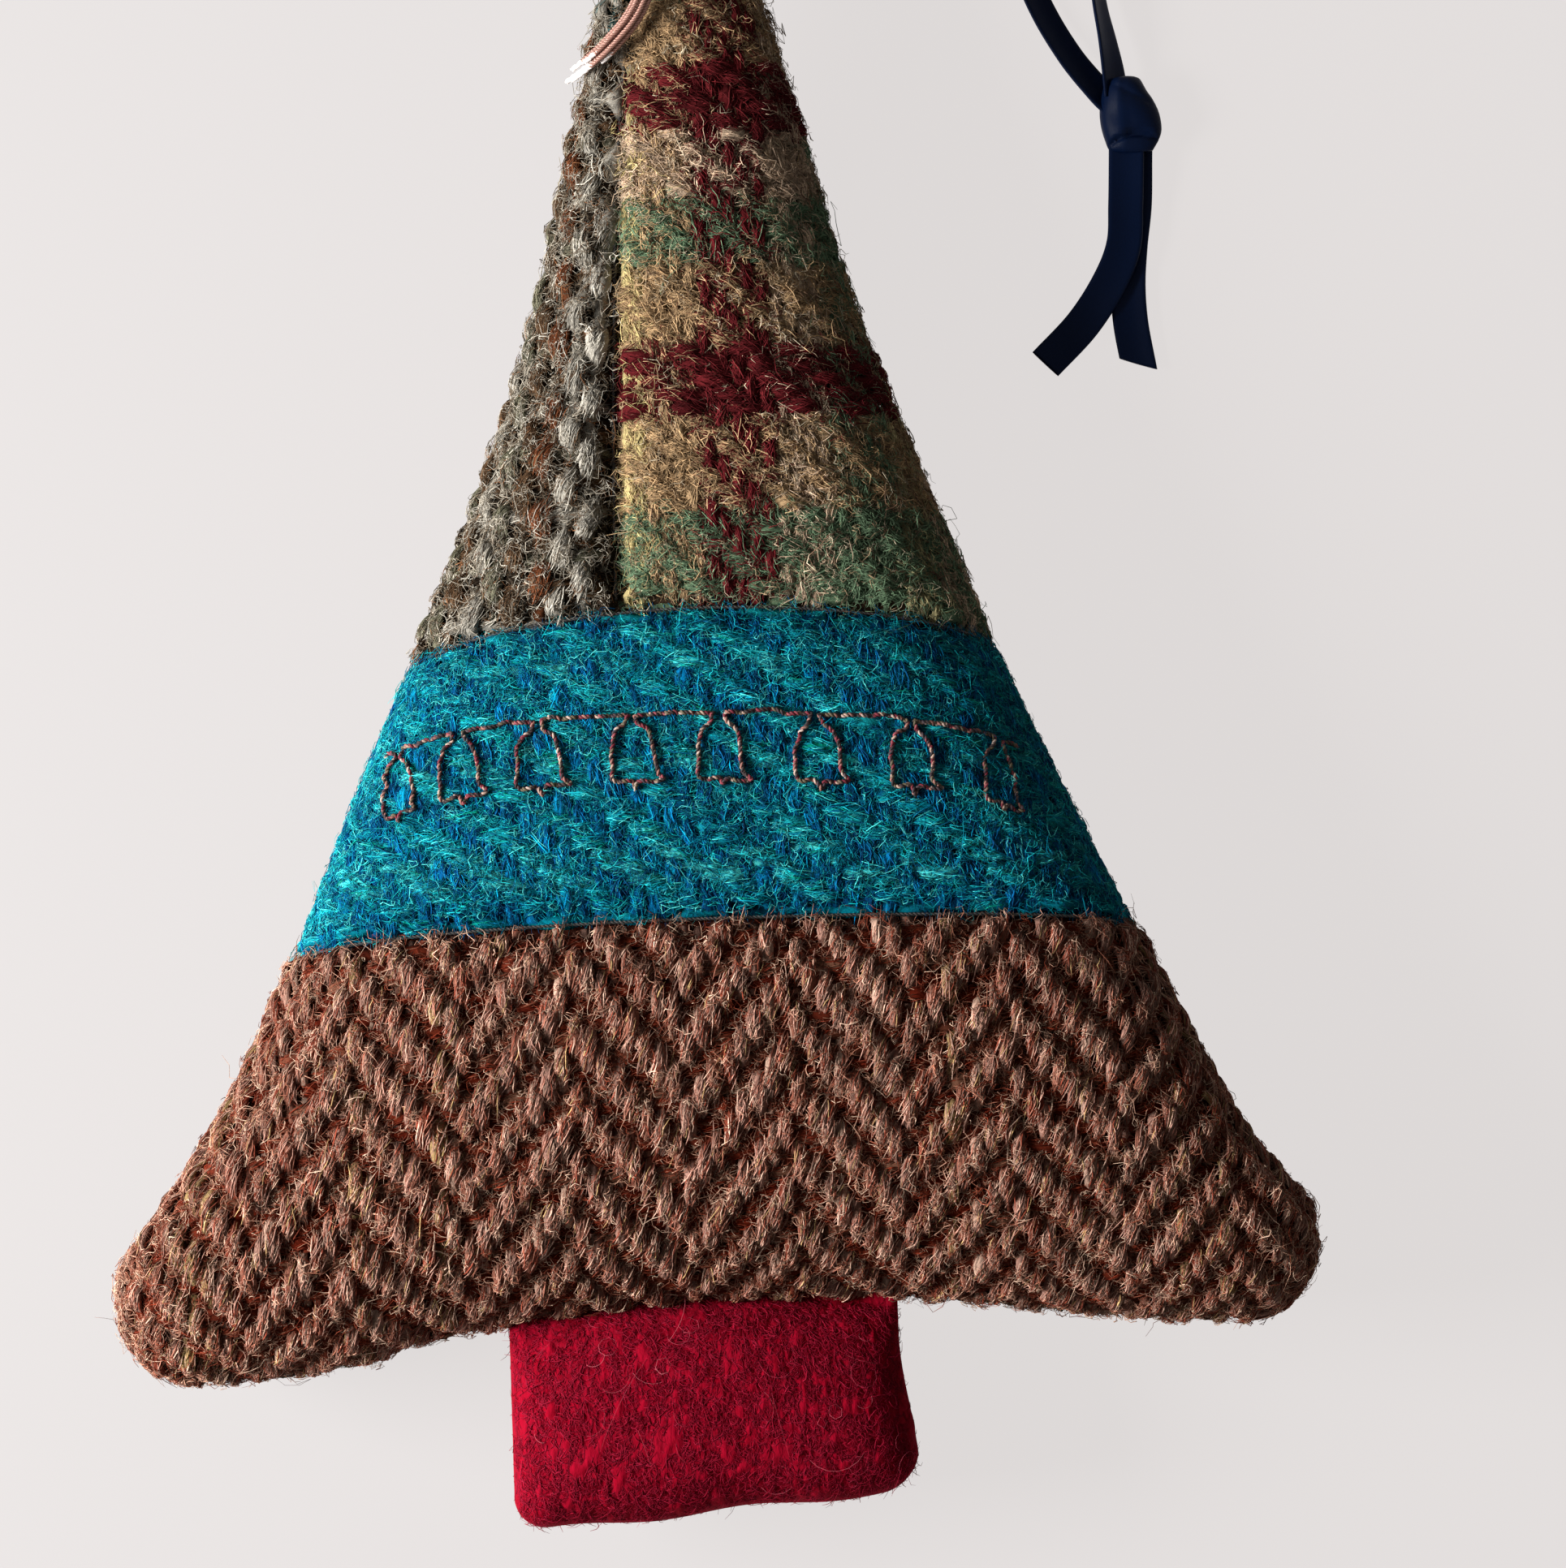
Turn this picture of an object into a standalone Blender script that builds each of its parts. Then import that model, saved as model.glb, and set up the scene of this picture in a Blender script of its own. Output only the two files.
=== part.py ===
"""Patchwork fabric christmas tree ornament, lying on its back.

Metres, +Z up. The tree's width runs along X, its apex points to +Y and its front faces +Z.
Heights on the tree are measured along +Y from the middle of its bottom edge.
The origin is on the table, under the middle of the cloth tree with its trunk.
"""

import math

import bmesh
import bpy
import numpy as np

MM = 0.001

# Tree body
BODY_WIDTH = 100 * MM
BODY_HEIGHT = 124 * MM
TIP_DROP = 4.4 * MM
TIP_RADIUS = 6 * MM
APEX_RISE = 4.2 * MM
APEX_SHOULDER = 30
FRONT_FULLNESS = 17.5 * MM
BACK_FULLNESS = 14 * MM
BOTTOM_FULLNESS = 18 * MM
EDGE_ROUND_SHARE = 0.75
REST_CUT = 0.5 * MM

# Heights above the widest level and half-widths of the side, from the tip to the apex
SIDE_SHARES = (
    (0.000, 1.000),
    (0.020, 0.996),
    (0.036, 0.982),
    (0.052, 0.953),
    (0.085, 0.894),
    (0.150, 0.798),
    (0.232, 0.700),
    (0.395, 0.519),
    (0.559, 0.354),
    (0.722, 0.229),
    (0.804, 0.180),
    (1.000, 0.070),
)

# Cloth, thread and the clearance that pieces keep from each other
CLOTH = 1.3 * MM
SEAM_GAP = 0.3 * MM
THREAD = 0.3 * MM
CLEARANCE = 0.3 * MM

# Patchwork seams
UPPER_SEAM_HEIGHT = 53.6 * MM
UPPER_SEAM_ARCH = 2.6 * MM
LOWER_SEAM_HEIGHT = 29.8 * MM
LOWER_SEAM_ARCH = 0.9 * MM
UPPER_SEAM = (UPPER_SEAM_HEIGHT, UPPER_SEAM_ARCH)
LOWER_SEAM = (LOWER_SEAM_HEIGHT, LOWER_SEAM_ARCH)
STRIP_SEAM_FOOT_X = -6.9 * MM
STRIP_SEAM_TOP_X = -1.5 * MM
STRIP_SEAM_BEND = 3
SEAM_DIP = 1.3 * MM
SEAM_DIP_REACH = 1.9 * MM

# Stitched garland of bells
GARLAND_HEIGHT = 47.6 * MM
GARLAND_SAG = 5.5 * MM
GARLAND_THREAD = 0.36 * MM
BELL_WIDTH = 4.1 * MM
BELL_HEIGHT = 6 * MM
BELL_PLACE_SHARES = (-0.92, -0.73, -0.49, -0.21, 0.05, 0.34, 0.62, 0.89)
BELL_NARROWING_SHARE = 0.45
GARLAND_END_SHARE = 0.96
BELL_OUTLINE_SHARES = (
    (-0.22, 0),
    (-0.26, -0.18),
    (-0.44, -0.38),
    (-0.50, -0.62),
    (-0.48, -0.84),
    (-0.24, -0.86),
    (0.00, -1),
    (0.24, -0.86),
    (0.52, -0.84),
    (0.44, -0.64),
    (0.40, -0.44),
    (0.20, -0.20),
    (0.22, -0.02),
)

# Hand stitches that close the bottom edge
CLOSING_FROM_SHARE = 0.864
CLOSING_LENGTH = 15 * MM
CLOSING_COUNT = 7
CLOSING_THREAD = 0.3 * MM
CLOSING_REACH = 1.6 * MM

# Trunk
TRUNK_WIDTH = 33.4 * MM
TRUNK_LENGTH = 17.4 * MM
TRUNK_CORNER = 3.2 * MM
TRUNK_FULLNESS = 11 * MM
TRUNK_END_FULLNESS = 14 * MM
TRUNK_SEAM_CLEARANCE = 0.5 * MM
TRUNK_SEAM_SLOPE = 1.6
TRUNK_WADDING_START = 2.4 * MM

# Ribbon loop
RIBBON_WIDTH = 3 * MM
RIBBON_THICKNESS = 0.4 * MM
RIBBON_APART = 0.4 * MM
RIBBON_SEWN_LENGTH = 12 * MM
RIBBON_NECK = 4.2 * MM
SLOT_SPREAD = 1.2 * MM
SLOT_DEPTH = 3 * MM
KNOT_WIDTH = 5 * MM
KNOT_LENGTH = 6 * MM
KNOT_THICKNESS = 3.4 * MM
KNOT_WAIST_SHARE = 0.12
KNOT_CREASES = 3

# Metallic cord
STRAND = 0.45 * MM
BINDING_TURNS = 3
BINDING_PITCH = 0.95 * MM
TAIL_REACH = 9.4 * MM
TAIL_FALL = 22.6 * MM
TAIL_LANE = 0.56 * MM
TAIL_LAYER = 0.52 * MM
TAIL_DROOP = 0.35 * MM
TAIL_ROUTE_SHARES = (
    (0.02, -0.02),
    (0.06, 0.12),
    (0.14, 0.38),
    (0.24, 0.62),
    (0.38, 0.78),
    (0.60, 0.89),
    (0.80, 0.955),
    (1.00, 1.00),
)
# Each strand's lane, its layer and the share of the route that it keeps
TAIL_STRAND_SHARES = (
    (-1.0, 0.0, 0.94),
    (0.0, 0.0, 1.00),
    (1.0, 0.0, 0.80),
    (-0.5, 1.0, 0.88),
    (0.5, 1.0, 0.97),
)

# Sides and steps of the meshes
BAND_STEPS = (24, 10)
STRIP_STEPS = (6, 18)
PLAID_STEPS = (12, 18)
BACK_STEPS = (22, 24)
FILLING_STEPS = (16, 16)
TRUNK_STEPS = (14, 8)
THREAD_SIDES = 5
UPPER_THREAD_STEPS = 28
LOWER_THREAD_STEPS = 40
STRIP_THREAD_STEPS = 26
EDGE_THREAD_STEPS = 120
TRUNK_THREAD_STEPS = 36
GARLAND_STEPS = 190
TAIL_STEPS = 16
KNOT_STEPS = (12, 16)
BINDING_STEPS = 24
CURVE_STEPS = 5
OUTLINE_STEPS = 240
LANE_STEPS = 4
FOLD_STEPS = 8
LEG_STEPS = 6
SHARP_ANGLE = 50
UPRIGHT_SHARE = 0.75
SMALLEST = 1e-9

FILLING_INSET = CLOTH + THREAD + 3 * CLEARANCE
TIP_LEVEL = TIP_RADIUS - TIP_DROP
TIP_CENTRE_X = BODY_WIDTH / 2 - TIP_RADIUS
CENTRE_HEIGHT = (BODY_HEIGHT + RIBBON_NECK - TRUNK_LENGTH) / 2


# Outline of the tree


def side_half_width(height):
    """Half-width of the tree at a height, with its rounded tips and apex."""
    shares = np.array(SIDE_SHARES)
    rise = BODY_HEIGHT - TIP_LEVEL
    level = (np.asarray(height, float) - TIP_LEVEL) / rise
    side = smooth_through(shares[:, 0], shares[:, 1], np.clip(level, 0, 1)) * BODY_WIDTH / 2
    above_arc = np.clip(height - (BODY_HEIGHT - APEX_RISE), 0, APEX_RISE)
    apex = apex_half_width() * np.sqrt(1 - (above_arc / APEX_RISE) ** 2)
    side = np.where(above_arc > 0, apex, side)
    below = np.clip(TIP_LEVEL - height, 0, TIP_RADIUS)
    tip = TIP_CENTRE_X + np.sqrt(TIP_RADIUS**2 - below**2)
    return np.where(height < TIP_LEVEL, tip, side)


def apex_half_width():
    """Half-width of the tree where its side turns over into the rounded apex."""
    shares = np.array(SIDE_SHARES)
    level = (BODY_HEIGHT - APEX_RISE - TIP_LEVEL) / (BODY_HEIGHT - TIP_LEVEL)
    return float(smooth_through(shares[:, 0], shares[:, 1], np.array(level))) * BODY_WIDTH / 2


def bottom_height(x):
    """Height of the bottom edge, arched between the tips."""
    across = np.abs(np.asarray(x, float))
    arch = -TIP_DROP * (1 - np.cos(math.pi * np.minimum(across / TIP_CENTRE_X, 1))) / 2
    beyond = np.clip(across - TIP_CENTRE_X, 0, TIP_RADIUS)
    return np.where(beyond > 0, TIP_LEVEL - np.sqrt(TIP_RADIUS**2 - beyond**2), arch)


def smooth_through(places, values, wanted):
    """Values of a smooth curve through the places, which never overshoots them."""
    steps = np.diff(places)
    slopes = np.diff(values) / steps
    inner = np.where(
        slopes[1:] * slopes[:-1] > 0,
        2 * slopes[1:] * slopes[:-1] / (slopes[1:] + slopes[:-1] - SMALLEST),
        0,
    )
    ends = np.concatenate(([slopes[0]], inner, [slopes[-1]]))
    index = np.clip(np.searchsorted(places, wanted, side="right") - 1, 0, len(steps) - 1)
    step = steps[index]
    t = (wanted - places[index]) / step
    start = values[index] * (2 * t**3 - 3 * t**2 + 1)
    finish = values[index + 1] * (3 * t**2 - 2 * t**3)
    bend = step * (ends[index] * (t**3 - 2 * t**2 + t) + ends[index + 1] * (t**3 - t**2))
    return start + finish + bend


def apex_height(x):
    """Height of the rounded apex above a place near the middle."""
    return BODY_HEIGHT - APEX_RISE + APEX_RISE * math.sqrt(1 - (x / apex_half_width()) ** 2)


def seam_height(seam, x):
    """Height of an arched patchwork seam, which has its own height where it meets the sides."""
    edge, arch = seam
    return edge + arch * (1 - (np.asarray(x) / side_half_width(edge)) ** 2)


def strip_seam(height):
    """Place across the tree of the seam between the strip and the plaid patch."""
    foot = UPPER_SEAM_HEIGHT + UPPER_SEAM_ARCH
    share = np.clip((np.asarray(height) - foot) / (BODY_HEIGHT - foot), 0, 1)
    return STRIP_SEAM_FOOT_X + (STRIP_SEAM_TOP_X - STRIP_SEAM_FOOT_X) * share**STRIP_SEAM_BEND


# Swell of the cloth


def swell(x, height, fullness, inset=0):
    """How far a stuffed face stands off the level of its edge seam."""
    half = side_half_width(height) - inset
    sides = EDGE_ROUND_SHARE**2 * (half**2 - np.asarray(x) ** 2)
    bottom = BOTTOM_FULLNESS * (height - bottom_height(x) - inset)
    return joined_swell(sides, bottom, fullness**2)


def joined_swell(*squares):
    """Swell that stays below each of the given ones, whose squares these are."""
    return np.sqrt(1 / sum(1 / np.maximum(square, SMALLEST**2) for square in squares))


def seam_dip(x, height):
    """Share of the swell that the patchwork seams hold down."""
    upper = height - seam_height(UPPER_SEAM, x)
    nearest = np.minimum(np.abs(upper), np.abs(height - seam_height(LOWER_SEAM, x)))
    beside = np.where(upper > 0, np.abs(x - strip_seam(height)), BODY_WIDTH)
    depth = SEAM_DIP / front_crown()
    return depth * np.exp(-((np.minimum(nearest, beside) / SEAM_DIP_REACH) ** 2))


def ribbon_slot(x, height):
    """How far the cloth parts at the apex, where the ribbon passes through the seam."""
    outside = np.clip((np.abs(x) - RIBBON_WIDTH / 2) / SLOT_SPREAD, 0, 1)
    below = np.clip((BODY_HEIGHT - height) / SLOT_DEPTH, 0, 1)
    part = (1 - outside**2) * (1 - below**2)
    return (RIBBON_THICKNESS + CLEARANCE) * part


def front_crown():
    """Largest swell of the front."""
    heights = np.linspace(0, BODY_HEIGHT, OUTLINE_STEPS)
    return float(np.max(swell(np.zeros(OUTLINE_STEPS), heights, FRONT_FULLNESS)))


def back_crown():
    """Largest swell of the back."""
    heights = np.linspace(0, BODY_HEIGHT, OUTLINE_STEPS)
    return float(np.max(swell(np.zeros(OUTLINE_STEPS), heights, BACK_FULLNESS)))


def seam_level():
    """Height of the edge seam above the table."""
    return back_crown() + SEAM_GAP / 2 - REST_CUT


def front_rise(x, height):
    """Height of the front cloth above its own edge."""
    full = swell(x, height, FRONT_FULLNESS)
    return full * (1 - seam_dip(x, height)) + ribbon_slot(x, height)


def back_rise(x, height):
    """Depth of the back cloth below its own edge."""
    return swell(x, height, BACK_FULLNESS) + ribbon_slot(x, height)


# Plans and grids


def eased(steps):
    """Shares from 0 to 1 that crowd towards both ends."""
    return (1 - np.cos(np.linspace(0, math.pi, steps + 1))) / 2


def resampled(points, steps):
    """Points along a plan line, crowded towards its ends."""
    points = np.asarray(points)
    lengths = np.linalg.norm(np.diff(points, axis=0), axis=1)
    along = np.concatenate(([0], np.cumsum(lengths)))
    wanted = eased(steps) * along[-1]
    return np.stack([np.interp(wanted, along, points[:, axis]) for axis in (0, 1)], axis=1)


def side_line(low, high, sign, inset=0):
    """Plan line along one side of the tree, upwards."""
    heights = np.linspace(low, high, OUTLINE_STEPS)
    return np.stack([sign * (side_half_width(heights) - inset), heights], axis=1)


def tip_line(start_angle, end_angle, sign, inset=0):
    """Plan line round a lower tip, between two angles below the horizontal."""
    angles = np.linspace(start_angle, end_angle, OUTLINE_STEPS)
    radius = TIP_RADIUS - inset
    x = TIP_CENTRE_X + radius * np.cos(angles)
    height = TIP_LEVEL - radius * np.sin(angles)
    return np.stack([sign * x, height], axis=1)


def apex_line(start_angle, end_angle):
    """Plan line round the apex, between two angles from +X."""
    angles = np.linspace(start_angle, end_angle, OUTLINE_STEPS)
    x = apex_half_width() * np.cos(angles)
    height = BODY_HEIGHT - APEX_RISE + APEX_RISE * np.sin(angles)
    return np.stack([x, height], axis=1)


def whole_side(sign, top, inset=0):
    """Plan line from the corner of a tip up one side of the tree."""
    tip = tip_line(math.pi / 4, 0, sign, inset)
    return np.concatenate([tip[:-1], side_line(TIP_LEVEL, top, sign, inset)])


def whole_bottom(inset=0):
    """Plan line along the bottom edge, from the left tip's corner to the right one's."""
    left = tip_line(math.pi / 4, math.pi / 2, -1, inset)
    across = np.linspace(-TIP_CENTRE_X, TIP_CENTRE_X, OUTLINE_STEPS)
    middle = np.stack([across, bottom_height(across) + inset], axis=1)
    right = tip_line(math.pi / 2, math.pi / 4, 1, inset)
    return np.concatenate([left[:-1], middle, right[1:]])


def seam_line(seam, offset):
    """Plan line along a seam from side to side, moved up by the offset."""
    edge, arch = seam
    half = float(side_half_width(edge + offset))
    across = np.linspace(-half, half, OUTLINE_STEPS)
    return np.stack([across, edge + offset + arch * (1 - (across / half) ** 2)], axis=1)


def filled_plan(bottom, top, left, right, steps):
    """Grid of plan points between four lines: rows upwards, columns from left to right."""
    across, up = steps
    bottom = resampled(bottom, across)
    top = resampled(top, across)
    left = resampled(left, up)
    right = resampled(right, up)
    u = eased(across)[None, :, None]
    v = eased(up)[:, None, None]
    rows = (1 - v) * bottom[None] + v * top[None]
    columns = (1 - u) * left[:, None] + u * right[:, None]
    corners = (1 - v) * ((1 - u) * bottom[0] + u * bottom[-1]) + v * ((1 - u) * top[0] + u * top[-1])
    return rows + columns - corners


def faced_grid(plan, rise, free_edges, square_edges=()):
    """Points of a stuffed face over a plan grid, and their outward directions.

    At a free edge the cloth turns straight down to the edge seam. At a square edge its cut face
    stands square to the edge."""
    x = plan[..., 0]
    height = plan[..., 1]
    points = np.dstack([x, height, rise(x, height)])
    directions = np.cross(np.gradient(points, axis=1), np.gradient(points, axis=0))
    directions /= np.linalg.norm(directions, axis=2)[..., None]
    edges = {
        "left": (np.s_[:, 0], -1),
        "right": (np.s_[:, -1], 1),
        "bottom": (np.s_[0], 1),
        "top": (np.s_[-1], -1),
    }
    for edge in free_edges + square_edges:
        rows, sign = edges[edge]
        run = np.gradient(plan[rows], axis=0)
        outward = sign * np.stack([run[:, 1], -run[:, 0]], axis=1)
        outward /= np.linalg.norm(outward, axis=1)[:, None]
        if edge in free_edges:
            directions[rows] = np.concatenate([outward, np.zeros((len(run), 1))], axis=1)
        else:
            flat = directions[rows][:, :2]
            directions[rows][:, :2] = flat - np.sum(flat * outward, axis=1)[:, None] * outward
            directions[rows] /= np.linalg.norm(directions[rows], axis=1)[:, None]
    return points, directions


# Materials and objects


def material(name, colour, roughness, metallic=0.0):
    """Plain material with the piece's own colour."""
    made = bpy.data.materials.new(name)
    made.use_nodes = True
    shader = made.node_tree.nodes["Principled BSDF"]
    shader.inputs["Base Color"].default_value = (*colour, 1)
    shader.inputs["Roughness"].default_value = roughness
    shader.inputs["Metallic"].default_value = metallic
    return made


def placed(points):
    """Points of the tree, from its seam's own level to the part's frame."""
    shift = np.array([0, -CENTRE_HEIGHT, seam_level()])
    return np.asarray(points, float) + shift


def add_object(name, vertices, faces, surface):
    """Closed mesh object with outward faces."""
    mesh = bpy.data.meshes.new(name)
    mesh.from_pydata([tuple(map(float, vertex)) for vertex in vertices], [], faces)
    shape = bmesh.new()
    shape.from_mesh(mesh)
    bmesh.ops.recalc_face_normals(shape, faces=shape.faces)
    shape.to_mesh(mesh)
    shape.free()
    mesh.shade_smooth()
    mesh.set_sharp_from_angle(angle=math.radians(SHARP_ANGLE))
    made = bpy.data.objects.new(name, mesh)
    made.data.materials.append(surface)
    bpy.context.scene.collection.objects.link(made)
    return made


def closed_between(name, first, second, surface):
    """Closed solid between two grids of points with the same steps."""
    rows, columns = first.shape[:2]
    size = rows * columns
    vertices = np.concatenate([placed(first.reshape(-1, 3)), placed(second.reshape(-1, 3))])
    faces = []
    for row in range(rows - 1):
        for column in range(columns - 1):
            corner = row * columns + column
            quad = (corner, corner + 1, corner + columns + 1, corner + columns)
            faces.append(quad)
            faces.append(tuple(size + index for index in reversed(quad)))
    loop = list(range(columns))
    loop += [row * columns + columns - 1 for row in range(1, rows)]
    loop += [(rows - 1) * columns + column for column in range(columns - 2, -1, -1)]
    loop += [row * columns for row in range(rows - 2, 0, -1)]
    for start, end in zip(loop, loop[1:] + loop[:1]):
        faces.append((start, size + start, size + end, end))
    return add_object(name, vertices, faces, surface)


def inner_face(points, directions, depth):
    """Face this far inside a stuffed face, which never crosses the level of the edge seam."""
    inner = points - depth * directions
    inner[..., 2] = np.maximum(inner[..., 2], 0)
    return inner


def front_piece(name, plan, free_edges, surface):
    """Cloth patch of the front: its outer face, and its inner face one cloth thickness below."""
    points, directions = faced_grid(plan, front_rise, free_edges)
    inner = inner_face(points, directions, CLOTH)
    for grid in (points, inner):
        grid[..., 2] += SEAM_GAP / 2
    return closed_between(name, points, inner, surface)


def curve_points(points, steps):
    """Points of a smooth curve through the route's own points."""
    points = np.asarray(points, float)
    ends = np.concatenate([[2 * points[0] - points[1]], points, [2 * points[-1] - points[-2]]])
    made = []
    for index in range(len(points) - 1):
        before, start, finish, after = ends[index : index + 4]
        for t in np.linspace(0, 1, steps, endpoint=False):
            made.append(
                (
                    2 * start
                    + (finish - before) * t
                    + (2 * before - 5 * start + 4 * finish - after) * t**2
                    + (3 * start - before - 3 * finish + after) * t**3
                )
                / 2
            )
    made.append(points[-1])
    return np.array(made)


def swept(points, outline, sides):
    """Vertices and faces of a closed bar with this outline along the points.

    The outline's first coordinate runs along the side direction and its second across the bar."""
    points = np.asarray(points)
    runs = np.gradient(points, axis=0)
    runs /= np.linalg.norm(runs, axis=1)[:, None]
    sides = sides - np.sum(sides * runs, axis=1)[:, None] * runs
    sides /= np.linalg.norm(sides, axis=1)[:, None]
    across = np.cross(runs, sides)
    rings = [
        point + np.outer(outline[:, 0], side) + np.outer(outline[:, 1], other)
        for point, side, other in zip(points, sides, across)
    ]
    count = len(outline)
    faces = [tuple(range(count)), tuple(range((len(rings) - 1) * count, len(rings) * count))]
    for ring in range(len(rings) - 1):
        for index in range(count):
            other = (index + 1) % count
            start = ring * count
            faces.append((start + index, start + other, start + count + other, start + count + index))
    return np.concatenate(rings), faces


def steady_sides(points):
    """Side directions that turn as little as they can along the points."""
    points = np.asarray(points)
    runs = np.gradient(points, axis=0)
    runs /= np.linalg.norm(runs, axis=1)[:, None]
    side = np.cross(runs[0], (0, 0, 1))
    if np.linalg.norm(side) < UPRIGHT_SHARE:
        side = np.cross(runs[0], (1, 0, 0))
    sides = []
    for run in runs:
        side = side - np.dot(side, run) * run
        side /= np.linalg.norm(side)
        sides.append(side)
    return np.array(sides)


def round_outline(diameter):
    """Outline of a thread or cord."""
    angles = np.linspace(0, 2 * math.pi, THREAD_SIDES, endpoint=False)
    return np.stack([np.cos(angles), np.sin(angles)], axis=1) * diameter / 2


def ribbon_outline():
    """Outline of the ribbon, with thin edges."""
    half = RIBBON_WIDTH / 2
    thick = RIBBON_THICKNESS / 2
    inner = half - thick
    below = [(-half, 0), (-inner, -thick), (inner, -thick)]
    above = [(half, 0), (inner, thick), (-inner, thick)]
    return np.array(below + above)


def add_thread(name, line, diameter, surface):
    """Round thread or cord along a line of points."""
    vertices, faces = swept(line, round_outline(diameter), steady_sides(line))
    return add_object(name, placed(vertices), faces, surface)


# The pieces of the tree


def front_patches():
    """The four tweed patches of the front."""
    half_gap = SEAM_GAP / 2
    lower_low = seam_line(LOWER_SEAM, -half_gap)
    lower_high = seam_line(LOWER_SEAM, half_gap)
    upper_low = seam_line(UPPER_SEAM, -half_gap)
    upper_high = seam_line(UPPER_SEAM, half_gap)

    brown = material("brown_tweed", (0.16, 0.08, 0.055), 0.9)
    left = whole_side(-1, lower_low[0, 1])
    right = whole_side(1, lower_low[-1, 1])
    plan = filled_plan(whole_bottom(), lower_low, left, right, BAND_STEPS)
    front_piece("front_herringbone_band", plan, ("left", "right", "bottom"), brown)

    teal = material("teal_tweed", (0.01, 0.10, 0.16), 0.9)
    left = side_line(lower_high[0, 1], upper_low[0, 1], -1)
    right = side_line(lower_high[-1, 1], upper_low[-1, 1], 1)
    plan = filled_plan(lower_high, upper_low, left, right, BAND_STEPS)
    front_piece("front_teal_band", plan, ("left", "right"), teal)

    shoulder = math.radians(APEX_SHOULDER)
    shoulder_height = BODY_HEIGHT - APEX_RISE + APEX_RISE * math.sin(shoulder)

    grey = material("grey_tweed", (0.17, 0.14, 0.11), 0.9)
    seam = strip_edge(upper_high, -half_gap)
    top = apex_line(math.pi - shoulder, math.acos(seam[-1, 0] / apex_half_width()))
    left = side_line(upper_high[0, 1], shoulder_height, -1)
    foot = upper_high[upper_high[:, 0] < seam[0, 0]]
    plan = filled_plan(np.concatenate([foot, seam[:1]]), top, left, seam, STRIP_STEPS)
    front_piece("front_strip_patch", plan, ("left", "top"), grey)

    tan = material("tan_plaid_tweed", (0.22, 0.14, 0.07), 0.9)
    seam = strip_edge(upper_high, half_gap)
    top = apex_line(math.acos(seam[-1, 0] / apex_half_width()), shoulder)
    right = side_line(upper_high[-1, 1], shoulder_height, 1)
    foot = upper_high[upper_high[:, 0] > seam[0, 0]]
    plan = filled_plan(np.concatenate([seam[:1], foot]), top, seam, right, PLAID_STEPS)
    front_piece("front_plaid_patch", plan, ("right", "top"), tan)


def strip_edge(foot_line, offset):
    """Plan line of one cloth edge along the strip seam, from the upper seam to the apex."""
    foot_x = STRIP_SEAM_FOOT_X + offset
    foot_height = float(np.interp(foot_x, foot_line[:, 0], foot_line[:, 1]))
    top_x = STRIP_SEAM_TOP_X + offset
    top_height = float(apex_height(top_x))
    heights = np.linspace(foot_height, top_height, OUTLINE_STEPS)
    across = strip_seam(heights) + offset
    across += (top_x - across[-1]) * np.linspace(0, 1, OUTLINE_STEPS)
    return np.stack([across, heights], axis=1)


def whole_plan(top, steps, inset=0):
    """Plan grid of the whole tree up to a straight or rounded top."""
    left = whole_side(-1, top[0, 1], inset)
    right = whole_side(1, top[-1, 1], inset)
    return filled_plan(whole_bottom(inset), top, left, right, steps)


def back_panel():
    """Back cloth in one piece, flat where it lies on the table."""
    shoulder = math.radians(APEX_SHOULDER)
    plan = whole_plan(apex_line(math.pi - shoulder, shoulder), BACK_STEPS)
    points, directions = faced_grid(plan, back_rise, ("left", "right", "bottom", "top"))
    inner = inner_face(points, directions, CLOTH)
    for grid in (points, inner):
        grid[..., 2] = -grid[..., 2] - SEAM_GAP / 2
    points[..., 2] = np.maximum(points[..., 2], -seam_level())
    olive = material("olive_tweed", (0.09, 0.08, 0.05), 0.9)
    closed_between("back_panel", points, inner, olive)


def body_filling():
    """Wadding inside the tree, below the sewn end of the ribbon."""
    top = BODY_HEIGHT - RIBBON_SEWN_LENGTH - CLEARANCE
    half = float(side_half_width(top)) - FILLING_INSET
    line = np.stack([np.linspace(-half, half, OUTLINE_STEPS), np.full(OUTLINE_STEPS, top)], axis=1)
    plan = whole_plan(line, FILLING_STEPS, FILLING_INSET)
    front = stuffed_grid(plan, FRONT_FULLNESS, SEAM_DIP)
    back = stuffed_grid(plan, BACK_FULLNESS, 0) * np.array([1, 1, -1])
    wadding = material("wadding", (0.8, 0.8, 0.78), 1.0)
    closed_between("body_filling", front, back, wadding)


def stuffed_grid(plan, fullness, held_down):
    """One face of the wadding, inside the cloth and below where the seams hold the cloth down."""
    x = plan[..., 0]
    height = plan[..., 1]
    room = swell(x, height, fullness) - FILLING_INSET - held_down
    level = np.minimum(swell(x, height, fullness, FILLING_INSET), np.maximum(room, 0))
    return np.dstack([x, height, level + SEAM_GAP / 2])


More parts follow.
